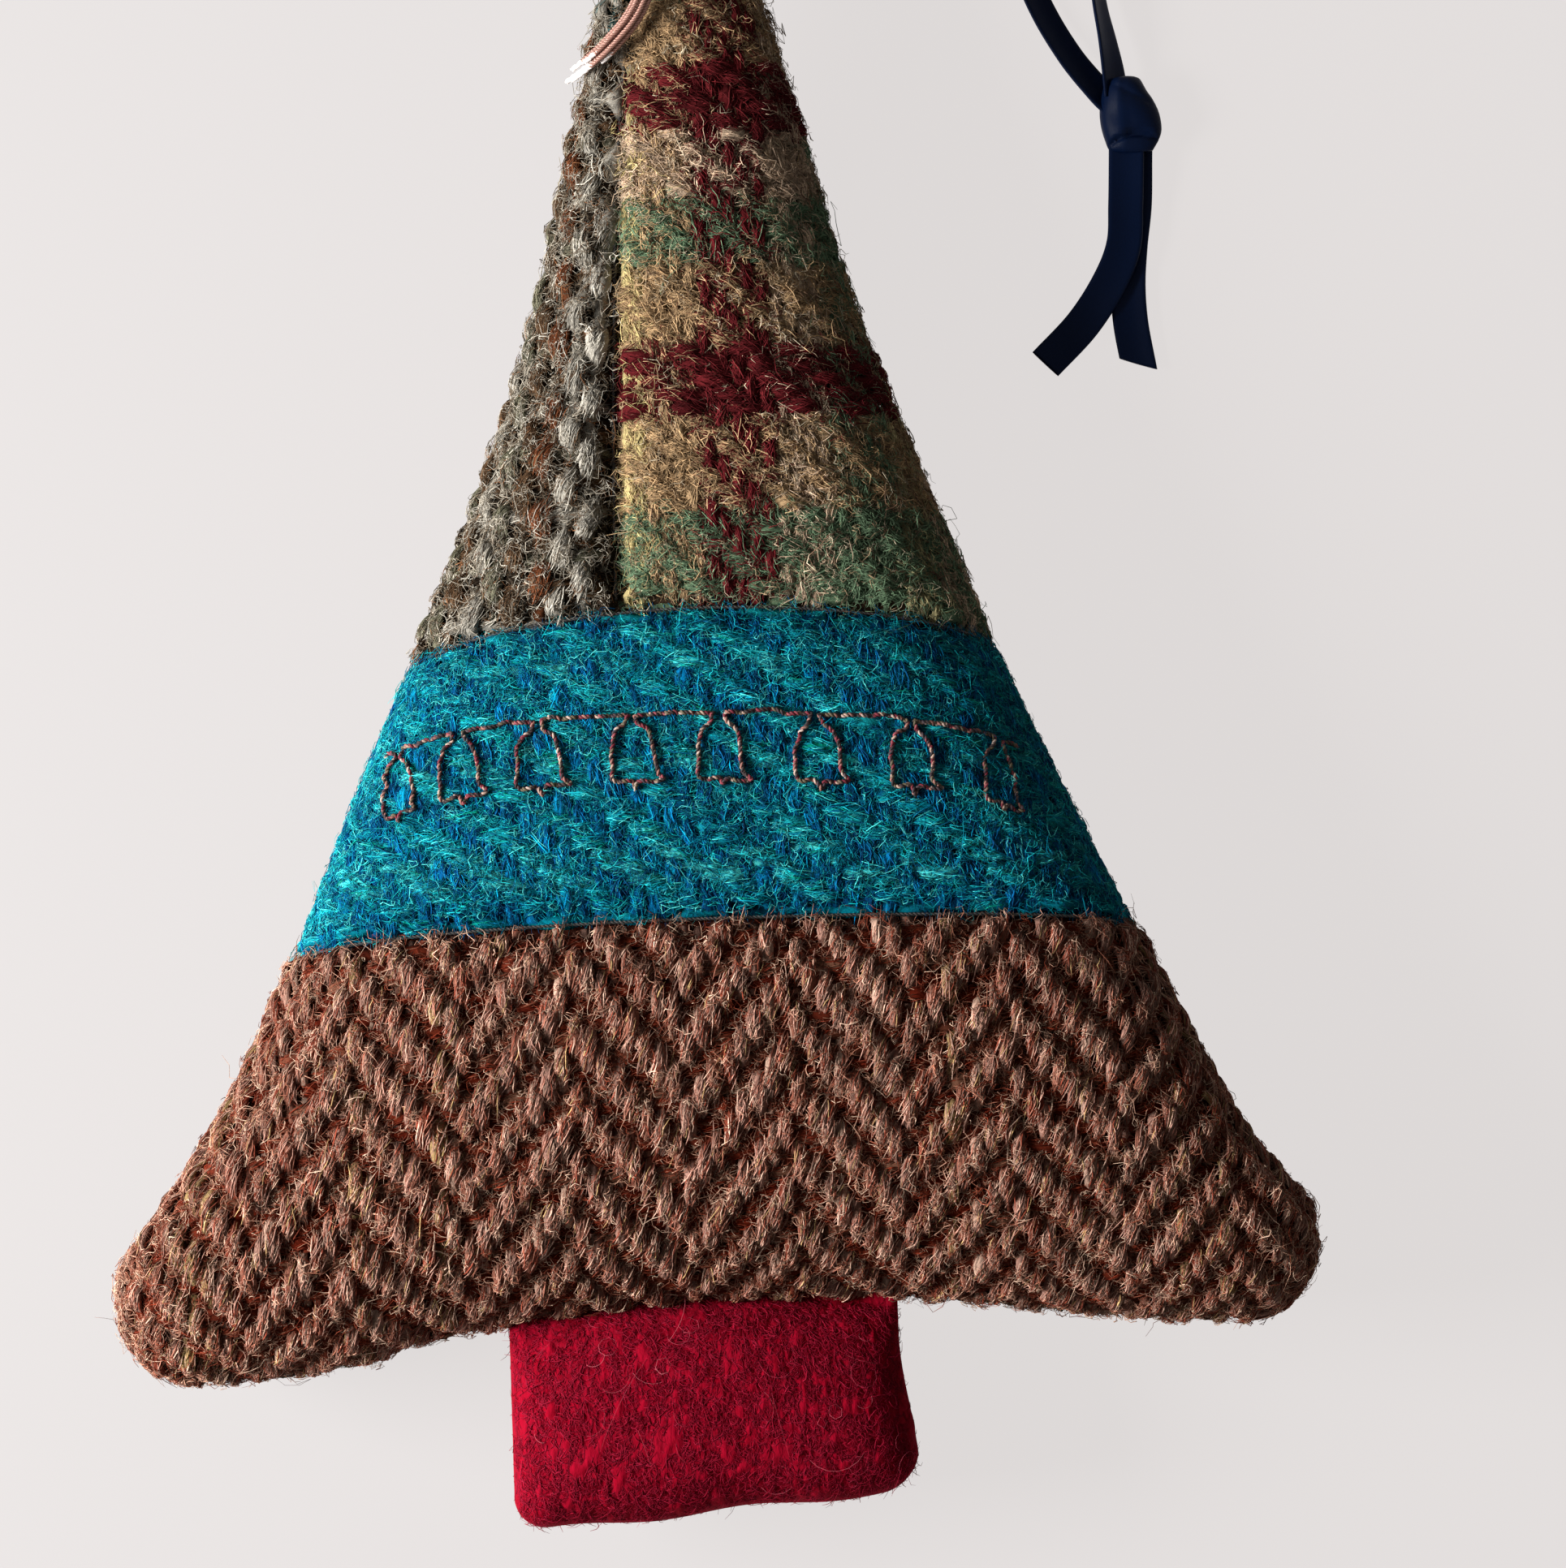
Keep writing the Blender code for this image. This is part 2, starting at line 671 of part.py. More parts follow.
def seam_threads():
    """Sewing thread along the patchwork seams and round the edge seam."""
    lift = THREAD / 2 + CLEARANCE
    grey = material("grey_thread", (0.2, 0.19, 0.18), 0.7)
    seams = (("upper", UPPER_SEAM, UPPER_THREAD_STEPS), ("lower", LOWER_SEAM, LOWER_THREAD_STEPS))
    for name, seam, steps in seams:
        line = seam_line(seam, 0)
        inside = np.abs(line[:, 0]) < line[-1, 0] - CLOTH
        x, height = resampled(line[inside], steps).T
        level = front_rise(x, height) + SEAM_GAP / 2 + lift
        add_thread(name + "_seam_thread", np.stack([x, height, level], axis=1), THREAD, grey)

    foot = UPPER_SEAM_HEIGHT + UPPER_SEAM_ARCH + 2 * lift
    height = np.linspace(foot, BODY_HEIGHT - APEX_RISE, STRIP_THREAD_STEPS)
    x = strip_seam(height)
    level = front_rise(x, height) + SEAM_GAP / 2 + lift
    add_thread("strip_seam_thread", np.stack([x, height, level], axis=1), THREAD, grey)

    top = BODY_HEIGHT - RIBBON_SEWN_LENGTH
    inset = CLOTH + CLEARANCE + THREAD / 2
    left = whole_side(-1, top, inset)
    right = whole_side(1, top, inset)
    outline = np.concatenate([left[::-1], whole_bottom(inset)[1:-1], right])
    even = evenly(outline, EDGE_THREAD_STEPS)
    add_thread("edge_seam_thread", np.column_stack([even, np.zeros(len(even))]), THREAD, grey)


def evenly(points, steps):
    """Points at equal steps along a line."""
    points = np.asarray(points)
    lengths = np.linalg.norm(np.diff(points, axis=0), axis=1)
    along = np.concatenate(([0], np.cumsum(lengths)))
    wanted = np.linspace(0, along[-1], steps + 1)
    return np.stack([np.interp(wanted, along, points[:, axis]) for axis in range(points.shape[1])], axis=1)


def above_front(x, height, lift):
    """Points this far off the front cloth, square to it."""
    step = SEAM_GAP
    level = front_rise(x, height)
    slope_x = (front_rise(x + step, height) - front_rise(x - step, height)) / (2 * step)
    slope_y = (front_rise(x, height + step) - front_rise(x, height - step)) / (2 * step)
    directions = np.stack([-slope_x, -slope_y, np.ones_like(level)], axis=1)
    directions /= np.linalg.norm(directions, axis=1)[:, None]
    return np.stack([x, height, level + SEAM_GAP / 2], axis=1) + lift * directions


def garland_stitching():
    """Machine-stitched string with bells that hang from it, as one thread."""
    half = float(side_half_width(GARLAND_HEIGHT))
    places = np.array(BELL_PLACE_SHARES) * half
    points = [(-GARLAND_END_SHARE * half, 0)]
    for place in places:
        narrowing = 1 - BELL_NARROWING_SHARE * (place / half) ** 4
        for across, down in BELL_OUTLINE_SHARES:
            points.append((place + across * BELL_WIDTH * narrowing, down * BELL_HEIGHT))
    points.append((GARLAND_END_SHARE * half, 0))
    route = evenly(curve_points(points, CURVE_STEPS), GARLAND_STEPS)
    x = route[:, 0]
    height = GARLAND_HEIGHT - GARLAND_SAG * (x / half) ** 4 + route[:, 1]
    line = above_front(x, height, GARLAND_THREAD / 2 + CLEARANCE)
    thread = material("variegated_thread", (0.45, 0.25, 0.22), 0.5)
    add_thread("garland_stitching", line, GARLAND_THREAD, thread)


def closing_stitches():
    """Hand whip stitch across the edge seam, which closes the gap for the wadding."""
    lift = CLOSING_THREAD / 2 + CLEARANCE
    turns = np.linspace(0, 2 * CLOSING_COUNT, 2 * CLOSING_COUNT * LEG_STEPS + 1)
    x = CLOSING_LENGTH * turns / turns[-1] - CLOSING_FROM_SHARE * TIP_CENTRE_X
    level = CLOSING_REACH * (2 * np.abs(turns - 2 * np.round(turns / 2)) - 1)
    height = bottom_height(x) - lift + level**2 / BOTTOM_FULLNESS
    line = np.stack([x, height, level], axis=1)
    thread = material("closing_thread", (0.12, 0.09, 0.07), 0.7)
    add_thread("closing_stitches", line, CLOSING_THREAD, thread)


# The pieces of the trunk


def trunk_top(x):
    """Height of the trunk's sewn edge, which follows the tree's bottom edge."""
    return bottom_height(x) - TRUNK_SEAM_CLEARANCE


def trunk_rise(x, height, inset=0):
    """Swell of the trunk, pressed flat where it is sewn to the tree."""
    half = TRUNK_WIDTH / 2
    corner = np.maximum(np.abs(x) - (half - TRUNK_CORNER), 0)
    radius = TRUNK_CORNER - inset
    foot = TRUNK_CORNER - TRUNK_LENGTH - np.sqrt(np.maximum(radius**2 - corner**2, 0))
    sides = EDGE_ROUND_SHARE**2 * ((half - inset) ** 2 - x**2)
    seam = CLOTH + TRUNK_SEAM_SLOPE * np.maximum(trunk_top(x) - height, 0)
    return joined_swell(sides, TRUNK_END_FULLNESS * (height - foot), seam**2, TRUNK_FULLNESS**2)


def trunk_plan(top_offset, steps, inset=0):
    """Plan grid of the trunk from this far below its sewn edge to its rounded foot."""
    half = TRUNK_WIDTH / 2 - inset
    across = np.linspace(-half, half, OUTLINE_STEPS)
    top = np.stack([across, trunk_top(across) - top_offset], axis=1)
    corner = trunk_corner(inset)
    right = np.concatenate([corner[OUTLINE_STEPS // 2 :: -1], top[-1:]])
    mirrored = np.array([-1, 1])
    foot = corner[OUTLINE_STEPS // 2 :]
    bottom = np.concatenate([foot * mirrored, foot[::-1]])
    return filled_plan(bottom, top, right * mirrored, right, steps)


def trunk_corner(inset):
    """Plan line round the trunk's right corner, from its side to its foot."""
    centre = np.array([TRUNK_WIDTH / 2 - TRUNK_CORNER, TRUNK_CORNER - TRUNK_LENGTH])
    angles = np.linspace(0, math.pi / 2, OUTLINE_STEPS)
    return centre + (TRUNK_CORNER - inset) * np.stack([np.cos(angles), -np.sin(angles)], axis=1)


def trunk_pieces():
    """Front and back cloth of the trunk, its wadding and its seam thread."""
    red = material("crimson_felted_wool", (0.20, 0.004, 0.012), 0.95)
    dark_red = material("crimson_back_wool", (0.17, 0.004, 0.010), 0.95)
    wadding = material("trunk_wadding", (0.8, 0.8, 0.78), 1.0)
    thread = material("red_thread", (0.25, 0.01, 0.02), 0.7)

    plan = trunk_plan(0, TRUNK_STEPS)
    points, directions = faced_grid(plan, trunk_rise, ("left", "right", "bottom"), ("top",))
    inner = inner_face(points, directions, CLOTH)
    for name, sign, surface in (("trunk_front_panel", 1, red), ("trunk_back_panel", -1, dark_red)):
        outer_side = points.copy()
        inner_side = inner.copy()
        outer_side[..., 2] = sign * (points[..., 2] + SEAM_GAP / 2)
        inner_side[..., 2] = sign * (inner[..., 2] + SEAM_GAP / 2)
        closed_between(name, outer_side, inner_side, surface)

    plan = trunk_plan(TRUNK_WADDING_START, TRUNK_STEPS, FILLING_INSET)
    x = plan[..., 0]
    height = plan[..., 1]
    room = np.maximum(trunk_rise(x, height) - FILLING_INSET, 0)
    level = np.minimum(trunk_rise(x, height, FILLING_INSET), room) + SEAM_GAP / 2
    front = np.dstack([x, height, level])
    closed_between("trunk_filling", front, front * np.array([1, 1, -1]), wadding)

    inset = CLOTH + CLEARANCE + THREAD / 2
    corner = trunk_corner(inset)
    high = float(trunk_top(corner[0, 0])) - TRUNK_WADDING_START
    right = np.concatenate([[(corner[0, 0], high)], corner])
    line = evenly(np.concatenate([right, (right * np.array([-1, 1]))[::-1]]), TRUNK_THREAD_STEPS)
    add_thread("trunk_seam_thread", np.column_stack([line, np.zeros(len(line))]), THREAD, thread)


# The ribbon

# Routes are in the part's own millimetres across, up the tree and above the edge seam's level,
# each with the ribbon's turn in degrees, where 0 lies flat and 90 stands on edge
LEFT_STRAND_ROUTE = (
    (0.0, 128.5, 0.4, 0),
    (0.9, 133.5, 1.6, 20),
    (4.0, 140.4, 3.4, 60),
    (8.8, 145.2, 3.4, 85),
    (14.4, 146.4, 0.6, 92),
    (19.6, 143.4, -3.6, 90),
    (23.0, 136.8, -7.0, 80),
    (25.2, 127.6, -8.9, 66),
    (27.6, 117.4, -9.2, 46),
    (30.2, 109.8, -9.2, 38),
    (32.7, 104.9, -9.0, 36),
    (35.2, 101.5, -8.8, 32),
)
RIGHT_STRAND_ROUTE = (
    (0.0, 128.5, -0.4, 0),
    (0.1, 134.0, -1.8, 20),
    (1.4, 142.5, -3.0, 60),
    (5.5, 151.0, -4.6, 85),
    (13.0, 156.5, -6.6, 92),
    (22.0, 157.0, -7.8, 94),
    (30.3, 152.5, -8.4, 92),
    (34.5, 142.5, -8.6, 84),
    (35.8, 127.0, -8.6, 76),
    (35.4, 118.5, -8.6, 72),
    (35.2, 112.6, -8.5, 68),
    (35.5, 109.0, -8.5, 64),
    (36.0, 106.0, -8.4, 57),
    (36.4, 103.2, -8.4, 48),
)
LEFT_TAIL_ROUTE = (
    (37.3, 95.4, -8.5, 0),
    (37.1, 91.6, -8.8, 4),
    (36.8, 88.2, -9.0, 6),
    (35.5, 85.1, -9.2, 4),
    (33.1, 81.6, -9.4, 2),
    (29.8, 78.3, -9.6, 0),
)
RIGHT_TAIL_ROUTE = (
    (38.1, 95.8, -9.7, 0),
    (37.9, 91.8, -9.8, 0),
    (37.4, 88.2, -9.9, 0),
    (37.1, 84.9, -9.9, 0),
    (37.2, 81.6, -9.9, 0),
    (37.7, 78.1, -9.9, 0),
)
KNOT_PLACE = (37.8, 99.3, -8.6)


def ribbon_piece(name, route, surface):
    """Flat ribbon along a route, lying flat or standing on edge as the route says."""
    route = curve_points([(x * MM, y * MM, z * MM, turn) for x, y, z, turn in route], CURVE_STEPS)
    points = route[:, :3]
    turns = np.radians(route[:, 3])[:, None]
    runs = np.gradient(points, axis=0)
    flat = np.cross(runs, (0, 0, 1))
    flat /= np.linalg.norm(flat, axis=1)[:, None]
    sides = np.cos(turns) * flat + np.sin(turns) * np.array([0, 0, 1])
    vertices, faces = swept(points, ribbon_outline(), sides)
    return add_object(name, placed(vertices), faces, surface)


def ribbon_anchor(surface):
    """Fold of the ribbon that is sewn into the apex, and its neck above it."""
    top = BODY_HEIGHT + RIBBON_NECK
    low = BODY_HEIGHT - RIBBON_SEWN_LENGTH + RIBBON_APART + RIBBON_THICKNESS
    angles = np.linspace(0, math.pi, FOLD_STEPS + 1)
    fold = [(0, low - RIBBON_APART * math.sin(angle), RIBBON_APART * math.cos(angle)) for angle in angles]
    middle = (top + low) / 2
    upper = [(0, top, RIBBON_APART), (0, middle, RIBBON_APART)]
    lower = [(0, middle, -RIBBON_APART), (0, top, -RIBBON_APART)]
    line = np.array(upper + fold + lower)
    vertices, faces = swept(line, ribbon_outline(), np.tile([1.0, 0, 0], (len(line), 1)))
    return add_object("ribbon_anchor", placed(vertices), faces, surface)


def ribbon_knot(surface):
    """Overhand knot, a short round bundle with its turns as shallow creases."""
    rows, columns = KNOT_STEPS
    vertices = []
    for row in range(1, rows):
        lean = math.pi * row / rows
        for column in range(columns):
            turn = 2 * math.pi * column / columns
            crease = 1 - KNOT_WAIST_SHARE * math.cos(KNOT_CREASES * 2 * lean + turn) ** 2
            vertices.append(
                (
                    KNOT_WIDTH / 2 * math.sin(lean) * math.cos(turn) * crease,
                    KNOT_LENGTH / 2 * math.cos(lean),
                    KNOT_THICKNESS / 2 * math.sin(lean) * math.sin(turn) * crease,
                )
            )
    vertices += [(0, KNOT_LENGTH / 2, 0), (0, -KNOT_LENGTH / 2, 0)]
    faces = []
    for row in range(rows - 2):
        for column in range(columns):
            other = (column + 1) % columns
            start = row * columns
            faces.append((start + column, start + other, start + columns + other, start + columns + column))
    first = len(vertices) - 2
    last = (rows - 2) * columns
    for column in range(columns):
        other = (column + 1) % columns
        faces.append((first, other, column))
        faces.append((first + 1, last + column, last + other))
    centre = np.array(KNOT_PLACE) * MM
    return add_object("ribbon_knot", placed(np.array(vertices) + centre), faces, surface)


def ribbon_pieces():
    """The hanging loop and the end of it that is sewn in."""
    satin = material("navy_satin", (0.006, 0.009, 0.028), 0.35)
    ribbon_anchor(satin)
    ribbon_piece("ribbon_strand_left", LEFT_STRAND_ROUTE, satin)
    ribbon_piece("ribbon_strand_right", RIGHT_STRAND_ROUTE, satin)
    ribbon_knot(satin)
    ribbon_piece("ribbon_tail_left", LEFT_TAIL_ROUTE, satin)
    ribbon_piece("ribbon_tail_right", RIGHT_TAIL_ROUTE, satin)


# The metallic cord


def copper_binding(surface):
    """Three turns of cord round the ribbon's neck, as one thread."""
    steps = BINDING_STEPS * BINDING_TURNS
    wide = RIBBON_WIDTH / 2 + CLEARANCE + STRAND / 2
    deep = RIBBON_APART + RIBBON_THICKNESS / 2 + CLEARANCE + STRAND / 2
    length = BINDING_TURNS * BINDING_PITCH
    start = BODY_HEIGHT + (RIBBON_NECK - length) / 2
    angles = np.linspace(0, 2 * math.pi * BINDING_TURNS, steps + 1)
    heights = start + length * angles / angles[-1]
    line = np.stack([wide * np.cos(angles), heights, deep * np.sin(angles)], axis=1)
    apart = line[BINDING_STEPS:] - line[:-BINDING_STEPS]
    least = min(np.linalg.norm(apart, axis=1)) - STRAND
    print("copper_cord_binding: least gap between turns", round(float(least) / MM, 3), "mm")
    add_thread("copper_cord_binding", line, STRAND, surface)


def copper_tails(surface):
    """Bunch of cord ends that runs from the binding over the front to the left."""
    places = [(-across * TAIL_REACH, BODY_HEIGHT - fall * TAIL_FALL) for across, fall in TAIL_ROUTE_SHARES]
    route = curve_points(places, CURVE_STEPS)
    run = np.gradient(route, axis=0)
    run /= np.linalg.norm(run, axis=1)[:, None]
    beside = np.stack([-run[:, 1], run[:, 0]], axis=1)
    lift = STRAND / 2 + CLEARANCE + THREAD
    for number, (lane, layer, kept) in enumerate(TAIL_STRAND_SHARES, 1):
        plan = route + lane * TAIL_LANE * beside
        under = []
        for width in np.linspace(-TAIL_LANE, TAIL_LANE, LANE_STEPS + 1):
            x, height = (route + width * beside).T
            under.append(swell(x, height, FRONT_FULLNESS) + ribbon_slot(x, height))
        level = np.max(under, axis=0) + lift + SEAM_GAP / 2 + layer * TAIL_LAYER
        for index in range(1, len(level)):
            level[index] = max(level[index], level[index - 1] - TAIL_DROOP)
        line = np.column_stack([plan, level])
        even = evenly(line[: max(2, round(kept * len(line)))], TAIL_STEPS)
        add_thread(f"copper_cord_tail_{number}", even, STRAND, surface)


def build():
    """The whole ornament."""
    for old in list(bpy.data.objects):
        bpy.data.objects.remove(old)
    front_patches()
    back_panel()
    body_filling()
    seam_threads()
    garland_stitching()
    closing_stitches()
    trunk_pieces()
    ribbon_pieces()
    copper = material("rose_gold_cord", (0.72, 0.42, 0.33), 0.3, 1.0)
    copper_binding(copper)
    copper_tails(copper)


build()
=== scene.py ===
import math

import bpy
import numpy as np
from mathutils import Matrix, Vector


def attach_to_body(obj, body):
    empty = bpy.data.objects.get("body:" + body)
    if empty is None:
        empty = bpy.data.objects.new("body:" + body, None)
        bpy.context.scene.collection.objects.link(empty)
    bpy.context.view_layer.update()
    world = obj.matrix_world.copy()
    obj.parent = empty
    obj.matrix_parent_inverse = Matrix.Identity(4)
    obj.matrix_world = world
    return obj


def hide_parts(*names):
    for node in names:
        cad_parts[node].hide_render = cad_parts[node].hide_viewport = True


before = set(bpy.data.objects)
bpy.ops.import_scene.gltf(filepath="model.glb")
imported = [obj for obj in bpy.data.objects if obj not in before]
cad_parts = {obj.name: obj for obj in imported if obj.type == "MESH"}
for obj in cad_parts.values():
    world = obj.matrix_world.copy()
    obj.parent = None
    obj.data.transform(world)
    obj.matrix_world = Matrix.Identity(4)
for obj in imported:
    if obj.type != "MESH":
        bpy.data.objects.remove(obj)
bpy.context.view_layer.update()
scene = bpy.context.scene
scene.view_settings.view_transform = "Standard"

# Lengths below are in millimetres, and become metres when a mesh is made
mm = 0.001

# The tree as it is cut and stuffed. Heights run up the tree from the middle of its bottom edge.
tree = {
    "height": 124.0,
    "halfWidth": 50.0,
    "centreHeight": 55.4,
    "seamLevel": 10.59,
    "seamGap": 0.15,
    "tipDrop": 4.4,
    "tipRadius": 6.0,
    "tipLevel": 1.6,
    "tipCentreX": 44.0,
    "apexRise": 4.2,
    "edgeRound": 0.75,
    "bottomFullness": 18.0,
    "skew": 0.75,
    "side": (
        (0.000, 1.000),
        (0.020, 0.996),
        (0.036, 0.982),
        (0.052, 0.953),
        (0.085, 0.894),
        (0.150, 0.798),
        (0.232, 0.700),
        (0.395, 0.519),
        (0.559, 0.354),
        (0.722, 0.229),
        (0.804, 0.180),
        (1.000, 0.070),
    ),
    "rightPull": ((-6, -1.3), (4, -1.3), (14, -1.0), (22, -0.3), (34, 0.0), (50, 0.1), (58, 0.5), (67, 0.8),
                  (80, 0.55), (95, 0.7), (110, 0.3), (124, 0.0)),
    "leftPull": ((-6, 0.6), (5, 0.3), (20, 0.6), (32, 0.2), (45, -0.3), (60, 0.0), (80, 0.2), (95, -0.3),
                 (124, 0.0)),
    "hem": ((-50, 0.1), (-46, -0.4), (-36, -0.9), (-30, -0.9), (-24, 0.0), (-8, -0.4), (4, -0.2), (14, 0.6),
            (30, 1.0), (40, 0.8), (50, 0.8)),
    "hemReach": 16.0,
}

seams = {
    "upper": (53.6, 2.6),
    "lower": (29.8, 0.9),
    "stripFootX": -6.9,
    "stripTopX": -1.5,
    "dip": 0.105,
    "dipReach": 1.9,
    "ribbonHalf": 1.5,
    "ribbonSpread": 1.2,
    "ribbonDepth": 3.0,
    "ribbonRoom": 0.7,
}

front = {"side": 1, "fullness": 17.5, "dips": True}
back = {"side": -1, "fullness": 14.0, "dips": False}

cameraView = {
    "distance": 500.0,
    "tilt": 5.5,
    "roll": 2.0,
    "right": 4.8,
    "up": 42.6,
    "frameWidth": 129.66,
    "sensor": 36.0,
}


# Camera

def addCamera():
    roll = math.radians(cameraView["roll"])
    tilt = math.radians(cameraView["tilt"])
    right = Vector((math.cos(roll), -math.sin(roll), 0))
    up = Vector((math.sin(roll), math.cos(roll), 0))
    target = right * cameraView["right"] + up * cameraView["up"]
    target.y -= tree["centreHeight"]
    target.z = tree["seamLevel"]
    away = Vector((0, 0, 1)) * math.cos(tilt) - up * math.sin(tilt)
    turn = Matrix((right, away.cross(right), away)).transposed().to_4x4()
    data = bpy.data.cameras.new("camera")
    data.sensor_width = cameraView["sensor"]
    data.lens = cameraView["sensor"] * cameraView["distance"] / cameraView["frameWidth"]
    data.clip_start = 0.01
    camera = bpy.data.objects.new("camera", data)
    camera.matrix_world = Matrix.Translation((target + away * cameraView["distance"]) * mm) @ turn
    scene.collection.objects.link(camera)
    scene.camera = camera


addCamera()


# Small helpers

def eased(value):
    value = np.clip(value, 0, 1)
    return value * value * (3 - 2 * value)


def unit(vectors):
    return vectors / np.maximum(np.linalg.norm(vectors, axis=-1, keepdims=True), 1e-9)


def smoothNoise(rng, rows, length, wave):
    # One row of smooth random values for each yarn, about one swing for each wave
    knots = rng.normal(0, 1, (rows, int(length / wave) + 4))
    place = np.linspace(0, knots.shape[1] - 3.001, max(int(length), 2))
    low = place.astype(int)
    share = eased(place - low)
    return knots[:, low] * (1 - share) + knots[:, low + 1] * share


def catmull(before, start, finish, after, t):
    bend = (2 * before - 5 * start + 4 * finish - after) * t**2
    turn = (3 * start - before - 3 * finish + after) * t**3
    return (2 * start + (finish - before) * t + bend + turn) / 2


def curvePoints(points, steps):
    # Smooth curve through the points, which may hold more than three values each
    points = np.asarray(points, float)
    ends = np.concatenate([[2 * points[0] - points[1]], points, [2 * points[-1] - points[-2]]])
    made = []
    for index in range(len(points) - 1):
        for t in np.linspace(0, 1, steps, endpoint=False):
            made.append(catmull(*ends[index:index + 4], t))
    made.append(points[-1])
    return np.array(made)


def evenly(points, count):
    points = np.asarray(points, float)
    lengths = np.linalg.norm(np.diff(points[:, :3], axis=0), axis=1)
    along = np.concatenate([[0], np.cumsum(lengths)])
    wanted = np.linspace(0, along[-1], count)
    return np.stack([np.interp(wanted, along, points[:, axis]) for axis in range(points.shape[1])], axis=1)


def addPiece(name, points, quads, material, values=None):
    # Mesh of four-sided faces, and of triangles where the fourth number is -1. Its material reads the values.
    sizes = np.where(quads[:, 3] < 0, 3, 4)
    corners = quads[quads >= 0]
    mesh = bpy.data.meshes.new(name)
    mesh.vertices.add(len(points))
    mesh.vertices.foreach_set("co", np.ascontiguousarray(points * mm, dtype=np.float32).ravel())
    mesh.loops.add(len(corners))
    mesh.loops.foreach_set("vertex_index", corners.astype(np.int32))
    mesh.polygons.add(len(quads))
    mesh.polygons.foreach_set("loop_start", (np.cumsum(sizes) - sizes).astype(np.int32))
    mesh.update(calc_edges=True)
    mesh.validate()
    for key, data in (values or {}).items():
        kind = {1: "FLOAT", 3: "FLOAT_VECTOR", 4: "FLOAT_COLOR"}[1 if data.ndim == 1 else data.shape[1]]
        field = {"FLOAT": "value", "FLOAT_VECTOR": "vector", "FLOAT_COLOR": "color"}[kind]
        layer = mesh.attributes.new(key, kind, "POINT")
        layer.data.foreach_set(field, np.ascontiguousarray(data, dtype=np.float32).ravel())
    mesh.shade_smooth()
    piece = bpy.data.objects.new(name, mesh)
    mesh.materials.append(material)
    scene.collection.objects.link(piece)
    return piece


def attach(piece, body, node=None):
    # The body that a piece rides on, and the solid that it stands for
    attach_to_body(piece, body)
    if node:
        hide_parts(node)


def tubes(lines, sides, halfWidths, halfDepths, keep=None, angles=None, twist=0.0):
    # Flattened tubes along rows of points. lines and sides are (rows, steps, 3); keep marks steps that stay.
    rows, steps = lines.shape[:2]
    angles = np.radians(angles if angles is not None else (0, 60, 120, 180, 240, 300))
    count = len(angles)
    runs = unit(np.gradient(lines, axis=1))
    across = unit(sides - np.sum(sides * runs, axis=2, keepdims=True) * runs)
    outward = np.cross(across, runs)
    wide = np.cos(angles) * np.asarray(halfWidths)[..., None]
    deep = np.sin(angles) * np.asarray(halfDepths)[..., None]
    points = lines[:, :, None] + wide[..., None] * across[:, :, None] + deep[..., None] * outward[:, :, None]
    lengths = np.linalg.norm(np.diff(lines, axis=1), axis=2)
    along = np.concatenate([np.zeros((rows, 1)), np.cumsum(lengths, axis=1)], axis=1)
    turned = angles[None, None] + along[..., None] * twist
    seed = np.arange(rows)[:, None, None] * 3.7 + np.zeros(turned.shape)
    place = np.stack([np.cos(turned) + seed, np.sin(turned) - seed, along[..., None] + seed * 5], axis=-1)
    keep = np.ones((rows, steps), bool) if keep is None else keep
    numbers = np.arange(rows * steps * count).reshape(rows, steps, count)
    joined = keep[:, :-1] & keep[:, 1:]
    start = numbers[:, :-1][joined]
    finish = numbers[:, 1:][joined]
    quads = np.stack([start, np.roll(start, -1, 1), np.roll(finish, -1, 1), finish], axis=-1).reshape(-1, 4)
    padded = np.pad(joined, ((0, 0), (1, 1)))
    firsts = numbers[~padded[:, :-1] & padded[:, 1:]]
    lasts = numbers[padded[:, :-1] & ~padded[:, 1:]]
    caps = [capQuads(firsts[:, ::-1]), capQuads(lasts)]
    quads = np.concatenate([quads, *caps])
    used = np.unique(quads[quads >= 0])
    renumber = np.full(numbers.size + 1, -1)
    renumber[used] = np.arange(len(used))
    row = np.repeat(np.arange(rows), steps * count)[used]
    step = np.tile(np.repeat(np.arange(steps), count), rows)[used]
    return points.reshape(-1, 3)[used], renumber[quads], place.reshape(-1, 3)[used], row, step


def capQuads(rings):
    # Closes each ring, of three corners or of an even number of them
    count = rings.shape[1]
    if count == 3:
        return np.column_stack([rings, np.full(len(rings), -1)])
    made = [rings[:, [0, k, k + 1, k + 2]] for k in range(1, count - 2, 2)]
    return np.concatenate(made).reshape(-1, 4)


# Shape of the cloth tree

def smoothThrough(places, values, wanted):
    steps = np.diff(places)
    slopes = np.diff(values) / steps
    product = slopes[1:] * slopes[:-1]
    inner = np.where(product > 0, 2 * product / (slopes[1:] + slopes[:-1] - 1e-9), 0)
    ends = np.concatenate(([slopes[0]], inner, [slopes[-1]]))
    index = np.clip(np.searchsorted(places, wanted, side="right") - 1, 0, len(steps) - 1)
    step = steps[index]
    t = (wanted - places[index]) / step
    start = values[index] * (2 * t**3 - 3 * t**2 + 1)
    finish = values[index + 1] * (3 * t**2 - 2 * t**3)
    return start + finish + step * (ends[index] * (t**3 - 2 * t**2 + t) + ends[index + 1] * (t**3 - t**2))


